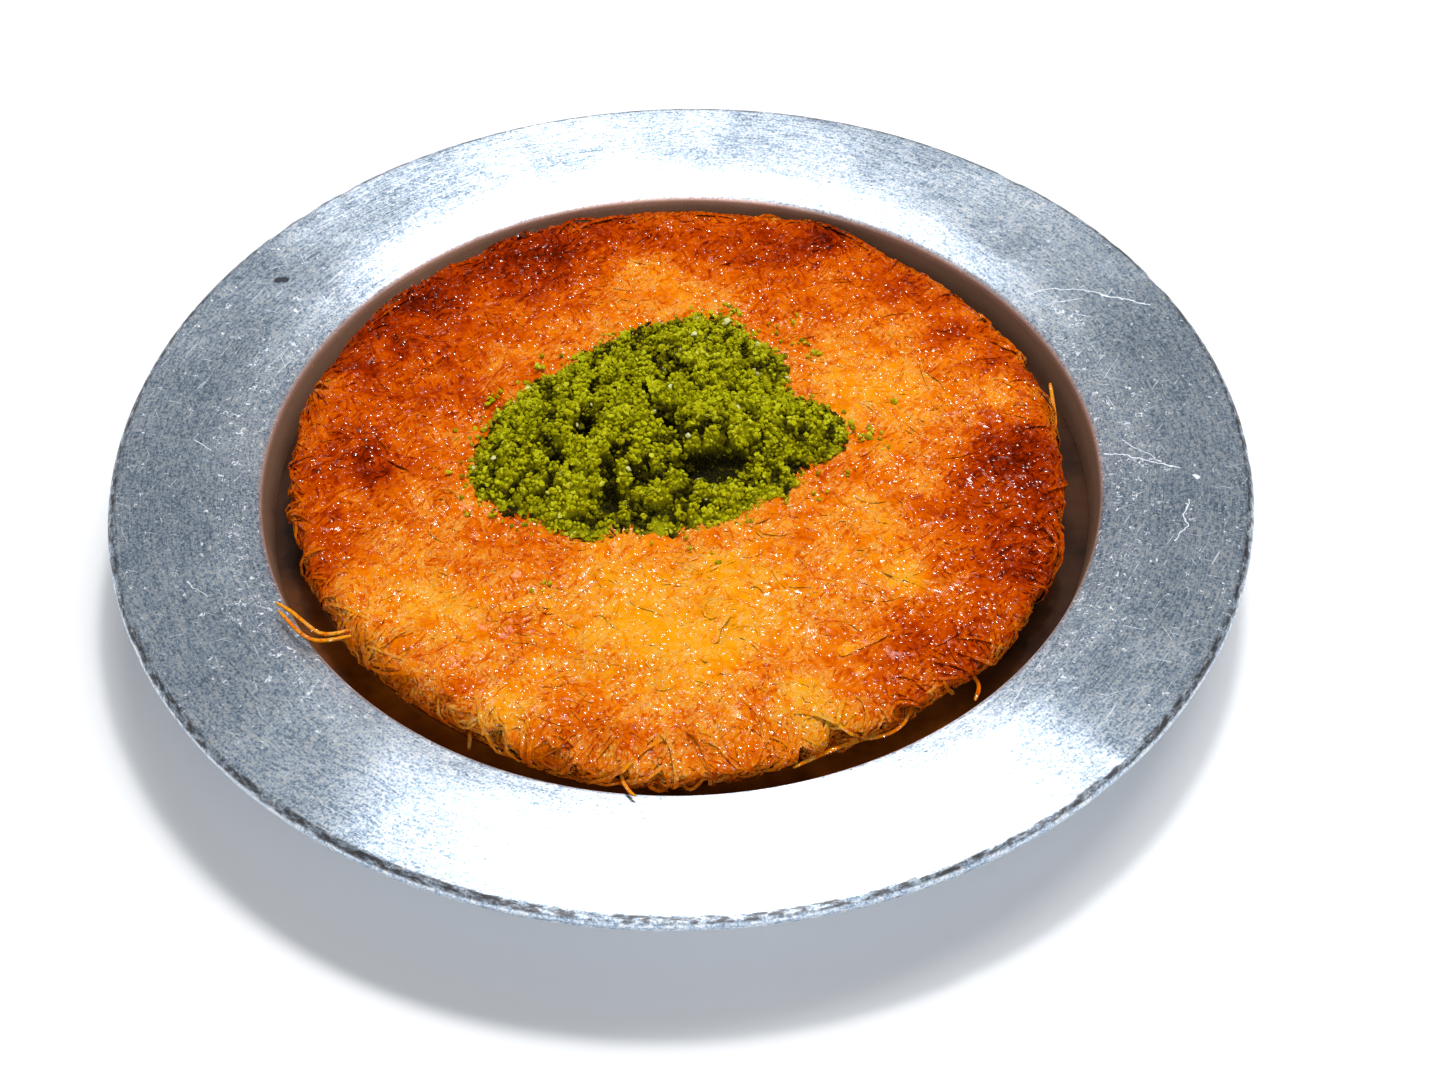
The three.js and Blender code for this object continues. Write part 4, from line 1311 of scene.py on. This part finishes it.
def make_camera():
    """The camera looks along +Y and down at its target, rolled a little."""
    elevation = CAMERA_ELEVATION
    forward = Vector((0, math.cos(elevation), -math.sin(elevation)))
    right = Vector((1, 0, 0))
    up = Vector((0, math.sin(elevation), math.cos(elevation)))
    roll = CAMERA_ROLL
    rolled_right = right * math.cos(roll) + up * math.sin(roll)
    rolled_up = up * math.cos(roll) - right * math.sin(roll)
    data = bpy.data.cameras.new("camera")
    data.sensor_fit = "HORIZONTAL"
    data.sensor_width = SENSOR_WIDTH
    data.lens = FOCAL_PIXELS * SENSOR_WIDTH / IMAGE_WIDTH
    camera = bpy.data.objects.new("camera", data)
    turned = Matrix((rolled_right, rolled_up, -forward)).transposed().to_4x4()
    place = (CAMERA_TARGET - forward * CAMERA_DISTANCE) * MM
    camera.matrix_world = Matrix.Translation(place) @ turned
    bpy.context.scene.collection.objects.link(camera)
    bpy.context.scene.camera = camera


def area_light(name, place, aim, size, power):
    """A rectangular softbox. place, aim and size are in metres, and power in watts."""
    data = bpy.data.lights.new(name, "AREA")
    data.shape = "RECTANGLE"
    data.size, data.size_y = size
    data.energy = power
    light = bpy.data.objects.new(name, data)
    light.location = place
    light.rotation_mode = "QUATERNION"
    light.rotation_quaternion = (Vector(aim) - Vector(place)).to_track_quat("-Z", "Y")
    bpy.context.scene.collection.objects.link(light)


def make_lights():
    """Two lights above the back edge, a broad one in front, and a neutral studio round them."""
    middle = (0, 0, RIM_TOP * MM)
    area_light("key", (0.12, 0.3, 1.15), middle, (0.14, 0.14), 5)
    area_light("softbox", (0.12, 0.22, 0.75), middle, (0.66, 0.18), 4.4)
    area_light("fill", (0, -0.8, 0.6), middle, (0.9, 0.5), 3.5)
    world = bpy.data.worlds.new("studio")
    world.use_nodes = True
    world.node_tree.nodes["Background"].inputs["Color"].default_value = (0.48, 0.49, 0.5, 1)
    world.node_tree.nodes["Background"].inputs["Strength"].default_value = 0.6
    bpy.context.scene.world = world


def make_floor():
    """A square of 6 m that the dish stands on."""
    half = 3000
    corners = [(-half, -half, 0), (half, -half, 0), (half, half, 0), (-half, half, 0)]
    floor = make_object("floor", np.array(corners, float), [(0, 1, 2, 3)])
    floor.data.materials.append(floor_material())


def main():
    """Makes everything, in the order of the list of pieces."""
    make_camera()
    make_lights()
    make_floor()
    metal = metal_material()
    crust = crust_material()
    nuts = pistachio_material()
    dress(make_dish(), metal, "dish_metal", "dish")
    dress(make_syrup(), syrup_material(), "syrup", "syrup")
    dress(make_crust(), crust, "crust", "kunafa")
    dress(make_bundled_strands(), crust, "crust")
    dress(make_curled_strands(), crust, "crust")
    dress(make_flakes(), crust, "crust")
    dress(make_side_strands(), crust, "crust")
    dress(make_hanging_strands(), crust, "crust")
    dress(make_loose_strands(), crust, "crust")
    dress(make_heap_core(), nuts, "pistachio", "pistachio_heap")
    dress(make_heap_grains(), nuts, "pistachio")
    dress(make_stray_crumbs(), nuts, "pistachio")
    bpy.context.scene.view_settings.view_transform = "Standard"


main()
